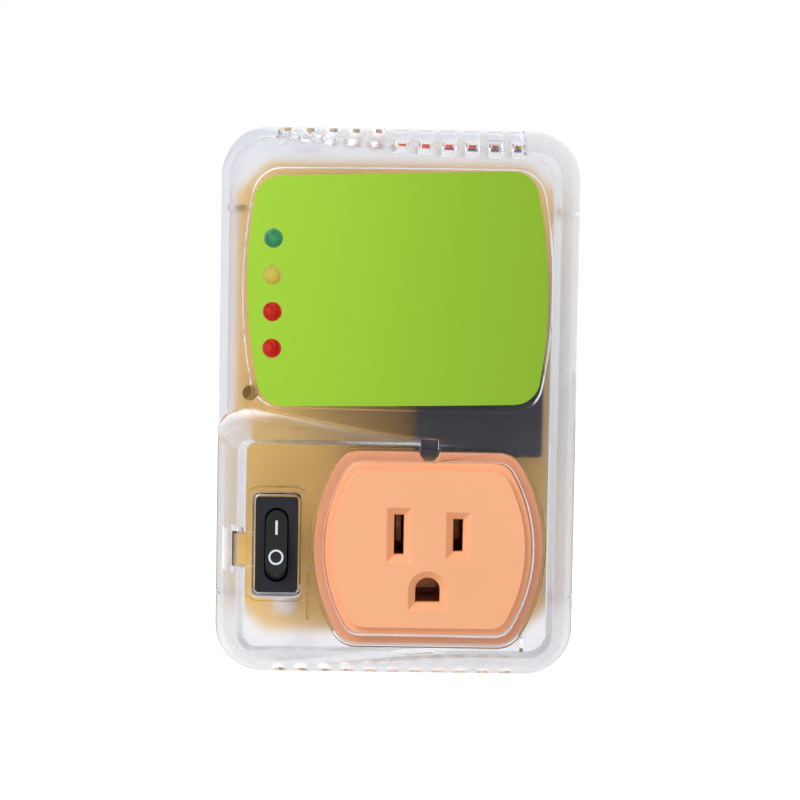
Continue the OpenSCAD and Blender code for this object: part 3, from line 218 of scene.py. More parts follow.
def see_through(name, colour, roughness):
    """Clear plastic that lets the lamps' light through to what is behind it."""
    material, tree, bsdf = start_material(name)
    bsdf.inputs["Base Color"].default_value = opaque(colour)
    bsdf.inputs["Transmission Weight"].default_value = 1.0
    bsdf.inputs["IOR"].default_value = CLEAR_IOR
    bsdf.inputs["Specular Tint"].default_value = MIRROR_TINT
    bsdf.inputs["Roughness"].default_value = roughness
    rays = tree.nodes.new("ShaderNodeLightPath")
    pass_by = tree.nodes.new("ShaderNodeBsdfTransparent")
    pass_by.inputs["Color"].default_value = opaque([0.5 + 0.5 * c for c in colour[:3]])
    late = tree.nodes.new("ShaderNodeMath")
    late.operation = "GREATER_THAN"
    late.inputs[1].default_value = LAST_BOUNCE
    tree.links.new(rays.outputs["Ray Depth"], late.inputs[0])
    either = add_larger(tree, rays.outputs["Is Shadow Ray"], late.outputs["Value"])
    add_mix(tree, either, bsdf.outputs["BSDF"], pass_by.outputs["BSDF"], "Material Output")
    return material


def painted_glint_edge(name, colour):
    """A cut edge of the clear plastic, made whiter and less clear than the shell: a painted highlight for the
    light such an edge gathers.
    """
    material, tree, bsdf = start_material(name)
    drift = add_noise(tree, 90.0)
    ramp = add_ramp(tree, drift.outputs["Fac"], tone(colour, 0.9), tone(colour, 1.03))
    tree.links.new(ramp.outputs["Color"], bsdf.inputs["Base Color"])
    bsdf.inputs["Roughness"].default_value = 0.2
    bsdf.inputs["Transmission Weight"].default_value = 0.35
    bsdf.inputs["IOR"].default_value = 1.45
    return material


def lamp_plastic_painted_glow(name, colour):
    """Tinted epoxy of an unlit indicator lamp, with a painted glow of its own colour for the light passing
    through it.
    """
    material, tree, bsdf = start_material(name)
    drift = add_noise(tree, 300.0)
    ramp = add_ramp(tree, drift.outputs["Fac"], tone(colour, 0.85), tone(colour, 1.1))
    tree.links.new(ramp.outputs["Color"], bsdf.inputs["Base Color"])
    bsdf.inputs["Roughness"].default_value = 0.12
    bsdf.inputs["Transmission Weight"].default_value = 0.1
    bsdf.inputs["IOR"].default_value = 1.5
    bsdf.inputs["Subsurface Weight"].default_value = 0.3
    bsdf.inputs["Subsurface Radius"].default_value = (0.002, 0.002, 0.002)
    bsdf.inputs["Subsurface Scale"].default_value = 0.5
    # Painted glow: the unlit lamp emits its own colour, standing in for light passing through it
    bsdf.inputs["Emission Color"].default_value = opaque(colour)
    bsdf.inputs["Emission Strength"].default_value = 0.22
    return material


def board_laminate(name, colour):
    """Paper laminate with a faint weave and mottling."""
    material, tree, bsdf = start_material(name)
    drift = add_noise(tree, 45.0, 5.0)
    ramp = add_ramp(tree, drift.outputs["Fac"], tone(colour, 0.86), tone(colour, 1.1), 0.3, 0.7)
    tree.links.new(ramp.outputs["Color"], bsdf.inputs["Base Color"])
    bsdf.inputs["Roughness"].default_value = 0.45
    fine = add_noise(tree, 1500.0, 2.0)
    add_bump(tree, bsdf, fine.outputs["Fac"], 0.2, 0.00003)
    return material


def film_with_painted_shade(name, colour):
    """Satin label film of green ink, lighter on the left and darker on the right: painted shade of the light
    falling across the curved panel.
    """
    material, tree, bsdf = start_material(name)
    coords = tree.nodes.new("ShaderNodeTexCoord")
    split = tree.nodes.new("ShaderNodeSeparateXYZ")
    tree.links.new(coords.outputs["Object"], split.inputs["Vector"])
    painted_shade_across = tree.nodes.new("ShaderNodeMapRange")
    painted_shade_across.inputs["From Min"].default_value = -0.034
    painted_shade_across.inputs["From Max"].default_value = 0.033
    tree.links.new(split.outputs["X"], painted_shade_across.inputs["Value"])
    # Painted shade: the film is lighter at the left and darker at the right, as if light fell across the
    # curved panel
    ramp = add_ramp(tree, painted_shade_across.outputs["Result"], tone(colour, 1.13), tone(colour, 0.88), 0.0, 1.0)
    tree.links.new(ramp.outputs["Color"], bsdf.inputs["Base Color"])
    bsdf.inputs["Roughness"].default_value = 0.42
    bsdf.inputs["Specular IOR Level"].default_value = 0.3
    fine = add_noise(tree, 1200.0, 3.0)
    add_bump(tree, bsdf, fine.outputs["Fac"], 0.12, 0.00002)
    return material


# Modelling helpers


def deselect():
    if bpy.context.object and bpy.context.object.mode != "OBJECT":
        bpy.ops.object.mode_set(mode="OBJECT")
    bpy.ops.object.select_all(action="DESELECT")


def make_active(obj):
    deselect()
    obj.select_set(True)
    bpy.context.view_layer.objects.active = obj


def apply_modifier(obj, kind, **values):
    make_active(obj)
    modifier = obj.modifiers.new(kind.title(), kind)
    for key, value in values.items():
        setattr(modifier, key, value)
    bpy.ops.object.modifier_apply(modifier=modifier.name)


def recalculate(obj):
    make_active(obj)
    bpy.ops.object.mode_set(mode="EDIT")
    bpy.ops.mesh.select_all(action="SELECT")
    bpy.ops.mesh.normals_make_consistent(inside=False)
    bpy.ops.object.mode_set(mode="OBJECT")


def merge(obj, distance=0.000002):
    make_active(obj)
    bpy.ops.object.mode_set(mode="EDIT")
    bpy.ops.mesh.select_all(action="SELECT")
    bpy.ops.mesh.remove_doubles(threshold=distance)
    bpy.ops.object.mode_set(mode="OBJECT")


def smooth(obj, angle=35):
    make_active(obj)
    bpy.ops.object.shade_smooth_by_angle(angle=math.radians(angle))


def paint(obj, *materials):
    obj.data.materials.clear()
    for material in materials:
        obj.data.materials.append(material)


def seat(obj, body, slot, *nodes):
    """The finished piece rides on its body and stands for its CAD nodes, which it hides. The slot is not
    used.
    """
    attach(obj, body)
    if nodes:
        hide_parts(*nodes)
    return obj


def softened(node, name, width=0.25 * MM, segments=2, angle=32, dissolve=1.0):
    """A copy of a CAD node with its moulded edges broken."""
    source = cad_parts[node]
    deselect()
    obj = bpy.data.objects.new(name, source.data.copy())
    bpy.context.scene.collection.objects.link(obj)
    merge(obj, 0.000004)
    make_active(obj)
    bpy.ops.object.mode_set(mode="EDIT")
    bpy.ops.mesh.select_all(action="SELECT")
    bpy.ops.mesh.dissolve_limited(angle_limit=math.radians(dissolve))
    bpy.ops.object.mode_set(mode="OBJECT")
    if width:
        apply_modifier(obj, "BEVEL", width=width, segments=segments, limit_method="ANGLE",
            angle_limit=math.radians(angle), miter_outer="MITER_ARC", use_clamp_overlap=True)
    smooth(obj, 40)
    apply_modifier(obj, "WEIGHTED_NORMAL", keep_sharp=True, weight=90)
    return obj


def dress(node, name, material, slot, width=0.25 * MM, segments=2, body=HOUSING):
    """A softened copy of a CAD node, painted and seated in its place."""
    piece = softened(node, name, width, segments)
    paint(piece, material)
    return seat(piece, body, slot, node)


def prism(name, corners, travel):
    """A closed solid: a flat outline drawn along travel (both in m)."""
    deselect()
    bpy.ops.mesh.primitive_circle_add(vertices=len(corners), fill_type="NGON", radius=MM)
    obj = bpy.context.object
    obj.name = obj.data.name = name
    for vertex, corner in zip(obj.data.vertices, corners):
        vertex.co = corner
    bpy.ops.object.mode_set(mode="EDIT")
    bpy.ops.mesh.select_all(action="SELECT")
    bpy.ops.mesh.extrude_region_move(TRANSFORM_OT_translate={"value": travel})
    bpy.ops.object.mode_set(mode="OBJECT")
    return obj


def plate(name, outline, y0, y1, chamfer=0.0):
    """A closed plate: an outline in X and Z (mm, about the housing's middle) from y0 back to y1 (mm)."""
    corners = [(x * MM, y1 * MM, z * MM + MIDDLE_Z) for x, z in outline]
    obj = prism(name, corners, (0, (y0 - y1) * MM, 0))
    if chamfer:
        centre = np.mean(np.array(outline), axis=0)
        for vertex in obj.data.vertices:
            if abs(vertex.co.y - y0 * MM) < 1e-7:
                x, z = vertex.co.x / MM, (vertex.co.z - MIDDLE_Z) / MM
                away = Vector((x - centre[0], z - centre[1])).normalized() * chamfer
                vertex.co.x += away.x * MM
                vertex.co.z += away.y * MM
    recalculate(obj)
    return obj


def brick(name, low, high, round_by=0.0):
    """A block between two corners (mm, z about the housing's middle), its edges broken."""
    deselect()
    bpy.ops.mesh.primitive_cube_add(size=1)
    obj = bpy.context.object
    obj.name = obj.data.name = name
    for vertex in obj.data.vertices:
        co = [low[i] if vertex.co[i] < 0 else high[i] for i in range(3)]
        vertex.co = (co[0] * MM, co[1] * MM, co[2] * MM + MIDDLE_Z)
    if round_by:
        apply_modifier(obj, "BEVEL", width=round_by * MM, segments=2)
    recalculate(obj)
    return obj


def rod(name, x, z, r, y0, y1, sides=48):
    """A round rod along Y (mm)."""
    outline = [(x + r * math.cos(2 * math.pi * i / sides), z + r * math.sin(2 * math.pi * i / sides))
        for i in range(sides)]
    return plate(name, outline, y0, y1)


def join(objects, name):
    deselect()
    for obj in objects:
        obj.select_set(True)
    bpy.context.view_layer.objects.active = objects[0]
    bpy.ops.object.join()
    objects[0].name = objects[0].data.name = name
    return objects[0]


def boolean(obj, tool, operation):
    apply_modifier(obj, "BOOLEAN", operation=operation, object=tool, solver="MANIFOLD")
    bpy.data.objects.remove(tool)


def round_rect(cx, cz, w, h, r, steps=8):
    points = []
    for sx, sz, start in ((1, 1, 0), (-1, 1, 90), (-1, -1, 180), (1, -1, 270)):
        for i in range(steps + 1):
            a = math.radians(start + 90 * i / steps)
            points.append((cx + sx * (w / 2 - r) + r * math.cos(a), cz + sz * (h / 2 - r) + r * math.sin(a)))
    return points


def barrel(cx, cz, w, h, side_r, r, steps=14):
    """Outline with flat top and bottom, bulging sides and round corners."""
    side_x = w / 2 - side_r
    corner_z = h / 2 - r
    corner_x = side_x + math.sqrt((side_r - r) ** 2 - corner_z ** 2)
    turn = math.atan2(corner_z, corner_x - side_x)
    quarter = [(side_x + side_r * math.cos(turn * i / steps), side_r * math.sin(turn * i / steps))
        for i in range(steps + 1)]
    quarter += [(corner_x + r * math.cos(turn + (math.pi / 2 - turn) * i / steps),
        corner_z + r * math.sin(turn + (math.pi / 2 - turn) * i / steps)) for i in range(1, steps + 1)]
    top = quarter + [(-x, z) for x, z in reversed(quarter)]
    points = top + [(x, -z) for x, z in reversed(top) if z > 1e-9]
    return [(cx + x, cz + z) for x, z in points]


# The clear front cover and what sits in it. Middles of the outlet, switch, label and lamps, and the
# number, width and pitch of the vents, in mm about the housing's middle
SOCKET = (7.0, -30.9)
SWITCH = (-25.6, -30.5)
LABEL = (-0.7, 24.6)
LAMP_X = -27.5
LAMP_Z = (35.3, 27.35, 19.4, 11.45)
VENTS, VENT_W, VENT_PITCH = 11, 3.3, 5.0
# How deep behind the front the vents end and start (short and long ones), how far in they reach, and how
# far their cutters stand out of the wall
VENT_END, VENT_SHORT, VENT_LONG = 15.0, 9.0, 1.9
REACH_SHORT, REACH_LONG = 4.3, 6.0
BEYOND = 1
# Width, height, side radius and corner radius of the label's, the outlet's and its rim's outlines
RECESS = (66.4, 51.5, 108, 6.5)
FILM = (64.7, 49.8, 107.2, 5.7)
RIM = (50.8, 43.2, 36.3, 5.8)
RIM_HOLE = (49.8, 42.2, 35.8, 5.3)
FLANGE = (49.2, 41.4, 35.5, 5.0)
OPENING = (45.0, 37.5, 33.0, 4.2)
STEP = (44.4, 36.9, 32.7, 3.9)
FACE = (41.5, 33.9, 31.5, 3.6)
# The flange, step and face as the CAD has them, with wider corners
CAD_OUTLINES = ((49.2, 42.0, 40.0, 8.0), (44.4, 37.4, 37.6, 6.65), (41.7, 34.6, 36.25, 6.125))
# Where the flange ends behind, and how near an outline a vertex must lie to be moved with it
FLANGE_BACK, OUTLINE_REACH = -36.0, 0.8
# Width, height and corners of the switch's pocket, backing and collar, and the lamp holes' radius
POCKET = (9.7, 21.1, 1.3)
BACKING = (13.3, 24.7, 3)
COLLAR = (10.1, 20.7, 0.8)
LAMP_HOLE = 2.0
# Depths: before the front, the front wall's back, the fittings' roots in it, the rim's back, board and lamps
OUT, JUST_OUT = -42, -40.05
INNER_Y, ROOT, ROOT_IN = -37.8, -38.3, -38.2
RIM_BACK, BOARD_Y, LAMP_BACK = -35.3, -14.6, -26
# Painted shade on the flange's front: how much of the peach's red, green and blue it keeps, darker as if
# shaded behind the front wall
FLANGE_PAINTED_SHADE = (0.55, 0.45, 0.38)


def inside_distance(x, z, low, high, r):
    """How far points lie inside a round-cornered rectangle."""
    cx, cz = (low[0] + high[0]) / 2, (low[1] + high[1]) / 2
    qx = np.abs(x - cx) - ((high[0] - low[0]) / 2 - r)
    qz = np.abs(z - cz) - ((high[1] - low[1]) / 2 - r)
    outside = np.hypot(np.maximum(qx, 0), np.maximum(qz, 0))
    return r - outside - np.minimum(np.maximum(qx, qz), 0)


def soft_max(a, b, k):
    """The larger of two values, blended where they differ by less than k."""
    h = np.maximum(k - np.abs(a - b), 0) / k
    return np.maximum(a, b) + h * h * k / 4


def soft_min(a, b, k):
    return -soft_max(-a, -b, k)


def shoulder_depth(inset, draw, drop):
    return np.where(inset > 0, drop * (1 - np.sqrt(np.maximum(inset, 0) / draw)), drop - inset * 10)


def edge_radii(outline):
    """An outline about the origin as two lists: rising angles and the distance to the edge at each."""
    close = []
    for (x0, z0), (x1, z1) in zip(outline, outline[1:] + outline[:1]):
        count = int(math.hypot(x1 - x0, z1 - z0) / 0.3) + 1
        close += [(x0 + (x1 - x0) * i / count, z0 + (z1 - z0) * i / count) for i in range(count)]
    points = sorted((math.atan2(z, x), math.hypot(x, z)) for x, z in close)
    angles, radii = [a for a, r in points], [r for a, r in points]
    return ([angles[-1] - 2 * math.pi] + angles + [angles[0] + 2 * math.pi], [radii[-1]] + radii + [radii[0]])


# Each skin of the cover: how far the lower block's top draws in, the blend of its edges and creases, and
# the block's corner. cover_skins adds how far the skin lies inside the outer outline (margin), how deep
# behind the front (sink) and how far the shoulder draws in (draw).
OUTER = {"block": 6.8, "edge": 0.2, "crease": 0.45, "corner": 9.5}
INNER = {"block": 5.7, "edge": 0.12, "crease": 0.3, "corner": 7.5}
INNER_DRAW = -0.6
BLOCK_X, BLOCK_Z = -30.3, -10.6
CURVE_X, PANEL_RADIUS = 20.0, 153
SHOULDER_DROP = 13


def cover_skins(house):
    draw = in_mm(house.shoulder_in)
    outer = dict(OUTER, margin=0.0, sink=0.0, draw=draw)
    inner = dict(INNER, margin=in_mm(house.wall), sink=in_mm(house.front_wall),
        draw=round(draw + INNER_DRAW, 4))
    return outer, inner


def front_depth(x, z, skin):
    """Depth behind the front (mm) of one skin of the cover."""
    margin, sink = skin["margin"], skin["sink"]
    outline = inside_distance(x, z, (-HALF_W - 0.6 + margin, -HALF_H + margin),
        (HALF_W + 0.6 - margin, HALF_H - margin), CORNER - margin)
    body = shoulder_depth(outline, skin["draw"], SHOULDER_DROP)
    outline = inside_distance(x, z, (-40.7 + 1.3 * margin, -60.0 + 0.95 * margin), (46.8, -1.1 - margin),
        skin["corner"])
    block = shoulder_depth(outline, skin["block"], SHOULDER_DROP) + sink
    block = soft_max(block, sink + 0 * block, skin["edge"])
    face = soft_min(panel_depth(x, sink), block, skin["crease"])
    return soft_max(body + sink, face, skin["edge"])


def panel_depth(x, sink=0.0):
    """Depth of the curved panel behind the front, or of a face sunk below it."""
    reach = np.maximum(CURVE_X - x, 0)
    return PANEL_RADIUS - np.sqrt((PANEL_RADIUS - sink) ** 2 - reach ** 2)


def block_lines(x, skin):
    """Heights at x of the lower block's plateau edge and of its crease with the curved panel."""
    def top(r):
        if x >= BLOCK_X:
            return BLOCK_Z + r
        return BLOCK_Z + math.sqrt(max(r * r - (x - BLOCK_X) ** 2, 0))
    corner, block = skin["corner"], skin["block"]
    inset = max(x + HALF_W - skin["margin"], 0)
    share = min(inset / skin["draw"], 1)
    edge = top(corner - block * share)
    drop = float(panel_depth(np.array(x), skin["sink"])) - skin["sink"]
    crease = top(corner - block * (1 - min(drop, SHOULDER_DROP) / SHOULDER_DROP) ** 2)
    return edge, max(crease, edge + 0.5)


# Insets of the rings either side of the shoulder's crease, from where it starts
NEAR_CREASE = (1.8, 1.5, 1.3, 1.2, 1.1, 1.0, 0.9, 0.8, 0.65, 0.45, 0.3, 0.18, 0.08, 0, -0.08, -0.18, -0.3,
    -0.45, -0.65, -0.9)


def ring_table(columns):
    """For each point round a ring: the part of the ring and the share of its length."""
    arc_n, side_n, top_n = columns
    rows = []
    for kind, count in (("right", side_n), ("ne", arc_n), ("top", top_n), ("nw", arc_n), ("left", side_n),
            ("sw", arc_n), ("bottom", top_n), ("se", arc_n)):
        rows += [(kind, i / count) for i in range(count)]
    rows.append(rows[0])
    return rows


def side_height(share, reach, x, skin):
    """Heights up a side, close together where the lower block's edge and crease cross it."""
    edge, crease = block_lines(x, skin)
    near = min(0.8, (crease - edge) / 3)
    knots = ((0.0, -reach), (0.24, edge - 0.8), (0.34, edge + near), (0.44, crease - near),
        (0.54, crease + 0.8), (1.0, reach))
    for (s0, z0), (s1, z1) in zip(knots, knots[1:]):
        if share <= s1:
            return z0 + (z1 - z0) * (share - s0) / (s1 - s0)
    return reach


def ring_points(table, half_w, half_h, r, skin):
    """One ring's points round a rectangle with round corners."""
    points = []
    for kind, share in table:
        if kind == "right":
            points.append((half_w, side_height(share, half_h - r, half_w, skin)))
        elif kind == "left":
            points.append((-half_w, side_height(1 - share, half_h - r, -half_w, skin)))
        elif kind == "top":
            points.append(((1 - 2 * share) * (half_w - r), half_h))
        elif kind == "bottom":
            points.append(((2 * share - 1) * (half_w - r), -half_h))
        else:
            start = {"ne": 0, "nw": 90, "sw": 180, "se": 270}[kind]
            sx = 1 if kind in ("ne", "se") else -1
            sz = 1 if kind in ("ne", "nw") else -1
            a = math.radians(start + 90 * share)
            points.append((sx * (half_w - r) + r * math.cos(a), sz * (half_h - r) + r * math.sin(a)))
    return points


def skin_rings(skin, table, fine):
    """Rings of one skin, from its middle out to the parting line."""
    margin, sink, draw = skin["margin"], skin["sink"], skin["draw"]
    insets = list(np.arange(HALF_W - margin, draw + 2.4, -fine))
    insets += [draw + step for step in NEAR_CREASE]
    insets += [(draw - 1.2) * (1 - s) ** 2 for s in np.linspace(0, 1, 15)[:-1]] + [0.004]
    rings = []
    for inset in insets:
        half_w, half_h = HALF_W - margin - inset, HALF_H - margin - inset
        r = max(CORNER - margin - inset, min(1.5, half_w))
        xz = np.array(ring_points(table, half_w, half_h, r, skin))
        depth = front_depth(xz[:, 0], xz[:, 1], skin)
        rings.append((xz, np.minimum(depth, SHOULDER_DROP + sink) + FRONT))
    for y in (-24.0, -16.0, SEAM):
        xz = np.array(ring_points(table, HALF_W - margin, HALF_H - margin, CORNER - margin, skin))
        rings.append((xz, np.full(len(xz), float(y))))
    return rings


def shell_from_rings(name, rings, columns):
    """A grid whose rows are laid on the rings, closed into a shell."""
    deselect()
    bpy.ops.mesh.primitive_grid_add(x_subdivisions=columns, y_subdivisions=len(rings) - 1, size=2)
    obj = bpy.context.object
    obj.name = obj.data.name = name
    count = len(obj.data.vertices)
    co = np.zeros(count * 3, np.float32)
    obj.data.vertices.foreach_get("co", co)
    co = co.reshape(-1, 3)
    column = np.rint((co[:, 0] + 1) / 2 * columns).astype(int)
    row = np.rint((co[:, 1] + 1) / 2 * (len(rings) - 1)).astype(int)
    xz = np.array([ring[0] for ring in rings])
    y = np.array([ring[1] for ring in rings])
    placed = np.stack([xz[row, column, 0] * MM, y[row, column] * MM,
        xz[row, column, 1] * MM + MIDDLE_Z], axis=1)
    obj.data.vertices.foreach_set("co", placed.astype(np.float32).ravel())
    obj.data.update()
    merge(obj, 0.000001)
    recalculate(obj)
    return obj


def front_fittings():
    """Everything that stands on the inner side of the front cover."""
    sx, sz = SOCKET
    parts = []
    rim = plate("rim", barrel(*SOCKET, *RIM), ROOT, RIM_BACK)
    hole = plate("rim_hole", barrel(*SOCKET, *RIM_HOLE), INNER_Y, RIM_BACK + BEYOND)
    boolean(rim, hole, "DIFFERENCE")
    gap = brick("rim_gap", (sx - 2.25, INNER_Y, sz + 18.7), (sx + 2.25, RIM_BACK + BEYOND, sz + 22.9))
    boolean(rim, gap, "DIFFERENCE")
    parts.append(rim)
    clip = brick("clip", (sx - 1.95, ROOT, sz + 21.2), (sx + 1.95, -34.75, sz + 22.9), 0.2)
    nose = brick("clip_nose", (sx - 1.94, -36.05, sz + 19.3), (sx + 1.94, -34.76, sz + 22.89), 0.2)
    boolean(clip, nose, "UNION")
    parts.append(clip)
    backing = plate("pocket_backing", round_rect(*SWITCH, *BACKING), ROOT, -36.0)
    collar = plate("collar", round_rect(*SWITCH, *COLLAR), ROOT_IN, -31.0)
    boolean(backing, collar, "UNION")
    notch = brick("notch_backing", (-34.5, ROOT_IN, -35.5), (-30.9, -35.6, -27.9), 0.2)
    boolean(backing, notch, "UNION")
    parts.append(backing)
    for side in (-1, 1):
        for z, front in ((-42, -31.5), (42, -26.0 if side < 0 else -31.5)):
            x0, x1 = sorted((side * 33.5, side * 37.5))
            parts.append(brick("board_rib", (x0, front, z - 0.7), (x1, BOARD_Y, z + 0.7), 0.15))
        for z in (-1, 1):
            z0, z1 = sorted((z * 56.85, z * 58.2))
            x0, x1 = side * 20.4 - 2.75, side * 20.4 + 2.75
            parts.append(brick("catch", (x0, -17.45, z0), (x1, -15.95, z1), 0.15))
    parts.append(rod("pillar", -32, 1.5, 1.6, -29.0, BOARD_Y))
    parts.append(brick("thin_rib_left", (-19.0, ROOT_IN, -46.7), (-18.65, -32, -36), 0.1))
    parts.append(brick("thin_rib_right", (27.15, ROOT_IN, -53.2), (27.85, -30, -50.2), 0.1))
    return parts


def vent_cutter(x, side, start, end, reach):
    """A slot with round ends, cut through the top (side 1) or bottom wall and reach mm inwards."""
    r, steps = VENT_W / 2, 14
    outline = [(x + r * math.cos(math.pi * i / steps), end - r + r * math.sin(math.pi * i / steps))
        for i in range(steps + 1)]
    outline += [(x - r * math.cos(math.pi * i / steps), start + r - r * math.sin(math.pi * i / steps))
        for i in range(steps + 1)]
    base = HALF_H - reach if side > 0 else -HALF_H - BEYOND
    corners = [(px * MM, (depth + FRONT) * MM, base * MM + MIDDLE_Z) for px, depth in outline]
    obj = prism("vent", corners, (0, 0, (reach + BEYOND) * MM))
    recalculate(obj)
    return obj


def on_panel(obj, spacing, low, high):
    """Splits a plate into strips and bends its front and back onto the curved panel (sinks in mm)."""
    make_active(obj)
    bpy.ops.object.mode_set(mode="EDIT")
    for x in np.arange(-36, 36, spacing):
        bpy.ops.mesh.select_all(action="SELECT")
        bpy.ops.mesh.bisect(plane_co=(float(x) * MM, 0, 0), plane_no=(1, 0, 0))
    bpy.ops.object.mode_set(mode="OBJECT")
    middle = sum(vertex.co.y for vertex in obj.data.vertices) / len(obj.data.vertices)
    for vertex in obj.data.vertices:
        sink = low if vertex.co.y < middle else high
        vertex.co.y = (float(panel_depth(np.array(vertex.co.x / MM), sink)) + FRONT) * MM
    recalculate(obj)
    return obj


def recess_cutter():
    """Cuts the shallow label recess: drafted sides, and a floor that follows the curved panel."""
    obj = plate("recess", barrel(*LABEL, *RECESS), -41, -36, 0.45)
    return on_panel(obj, 1.2, -0.1, 0.4)


class PROTECTOR_OT_front_cover(bpy.types.Operator):
    """Clear front cover with its curved panel, shoulders, vents, pocket and inner fittings"""

    bl_idname = "protector.front_cover"
    bl_label = "Front cover"

    def execute(self, context):
        house = context.scene.protector_housing
        outer, inner = cover_skins(house)
        table = ring_table(((14, 110, 48)))
        fine = 1.1
        rings = skin_rings(outer, table, fine) + skin_rings(inner, table, fine)[::-1]
        shell = shell_from_rings("front_shell", rings, len(table) - 1)
        for part in front_fittings():
            boolean(shell, part, "UNION")
        boolean(shell, recess_cutter(), "DIFFERENCE")
        self.cut(shell)
        merge(shell, 0.00001)
        make_active(shell)
        bpy.ops.object.mode_set(mode="EDIT")
        bpy.ops.mesh.select_all(action="SELECT")
        bpy.ops.mesh.dissolve_degenerate(threshold=0.00001)
        bpy.ops.object.mode_set(mode="OBJECT")
        smooth(shell, 32)
        apply_modifier(shell, "WEIGHTED_NORMAL", keep_sharp=True, weight=80)
        clear = context.scene.protector_finish.clear
        paint(shell, see_through("clear_shell", clear, 0.015),
            see_through("frosted_inside", clear, house.frost), painted_glint_edge("cut_edge_painted_glint", clear))
        self.finish_faces(shell, inner)
        seat(shell, HOUSING, "clear_shell", "front_cover")
        return {"FINISHED"}

    def cut(self, shell):
        """Cuts the opening, pocket, notch, lamp holes and vents."""
        px, pz = SWITCH
        cutters = [
            plate("opening", barrel(*SOCKET, *OPENING), OUT, -37.5),
            plate("pocket", round_rect(*SWITCH, *POCKET), JUST_OUT, -37.6, 0.85),
            brick("notch", (-34.2, OUT, -35.2), (-31.9, -36.8, -28.2)),
        ]
        for z in LAMP_Z:
            cutters.append(rod("lamp_hole", LAMP_X, z, LAMP_HOLE, OUT, LAMP_BACK))
        for i in range(VENTS):
            x = (i - VENTS // 2) * VENT_PITCH
            cutters.append(vent_cutter(x, -1, VENT_SHORT, VENT_END, REACH_SHORT))
            start, reach = (VENT_SHORT, REACH_SHORT) if x < 0 else (VENT_LONG, REACH_LONG)
            cutters.append(vent_cutter(x, 1, start, VENT_END, reach))
        boolean(shell, join(cutters, "cuts"), "DIFFERENCE")
        edge = plate("opening_edge", barrel(*SOCKET, *OPENING), JUST_OUT, -39.7, 0.3)
        boolean(shell, edge, "DIFFERENCE")
        well = brick("cut_out", (px - 4.05, -38.5, pz - 9.35), (px + 4.05, -30, pz + 9.35))
        boolean(shell, well, "DIFFERENCE")

    def finish_faces(self, shell, inner):
        """Frosts the inside of the front, and paints a highlight on the opening's and the pocket's cut edges.
        """
        px, pz = SWITCH
        rim = edge_radii(barrel(0, 0, *OPENING))
        for face in shell.data.polygons:
            c = face.center
            x, z, d = c.x / MM, (c.z - MIDDLE_Z) / MM, c.y / MM - FRONT
            reach = math.hypot(x - SOCKET[0], z - SOCKET[1])
            turn = math.atan2(z - SOCKET[1], x - SOCKET[0])
            on_rim = abs(reach - np.interp(turn, *rim) - 0.25) < 0.6
            faces_in = face.normal.x > 0.7 or face.normal.z > 0.7
            on_ledge = abs(x - px) < 6.4 and abs(z - pz) < 12 and faces_in
            # Painted highlight: the opening's rim and the pocket's left and bottom walls take the whiter edge
            # material, as if catching light
            if (on_rim and d < 0.5 and -0.95 < face.normal.y < -0.1) or (on_ledge and 0.02 < d < 2.35):
                face.material_index = 2
            if face.normal.y < 0.25 or not 2 < d < 15:
                continue
            skin = float(front_depth(np.array(x), np.array(z), inner))
            in_notch = -36 < x < -30.5 and -36 < z < -27
            in_pocket = abs(x - px) < 6.7 and abs(z - pz) < 12.5
            on_backing = in_pocket and abs(d - 4) < 0.1
            if on_backing or (abs(d - skin) < 0.4 and not in_notch and not in_pocket):
                face.material_index = 1


class PROTECTOR_OT_rear_cover(bpy.types.Operator):
    """Clear rear cover with its hooks, standoffs and plug pad"""

    bl_idname = "protector.rear_cover"
    bl_label = "Rear cover"

    def execute(self, context):
        clear = see_through("clear_back", context.scene.protector_finish.clear, 0.03)
        dress("rear_cover", "rear_shell", clear, "clear_shell", 0.15 * MM)
        return {"FINISHED"}


class PROTECTOR_OT_label(bpy.types.Operator):
    """Green label film in the recess of the curved panel"""

    bl_idname = "protector.label"
    bl_label = "Label"

    def execute(self, context):
        film = plate("label_film", barrel(*LABEL, *FILM), -41, -36)
        make_active(film)
        turn = math.radians(context.scene.protector_housing.label_turn)
        bpy.ops.transform.rotate(value=turn, orient_axis="Y",
            center_override=(LABEL[0] * MM, 0, LABEL[1] * MM + MIDDLE_Z))
        bpy.ops.object.transform_apply()
        on_panel(film, 1.2, 0.2, 0.399)
        holes = join([rod("hole", LAMP_X, z, LAMP_HOLE + 0.1, OUT, LAMP_BACK) for z in LAMP_Z], "holes")
        boolean(film, holes, "DIFFERENCE")
        smooth(film, 30)
        paint(film, film_with_painted_shade("label_film", context.scene.protector_finish.label))
        seat(film, HOUSING, "label_film", "front_label")
        return {"FINISHED"}


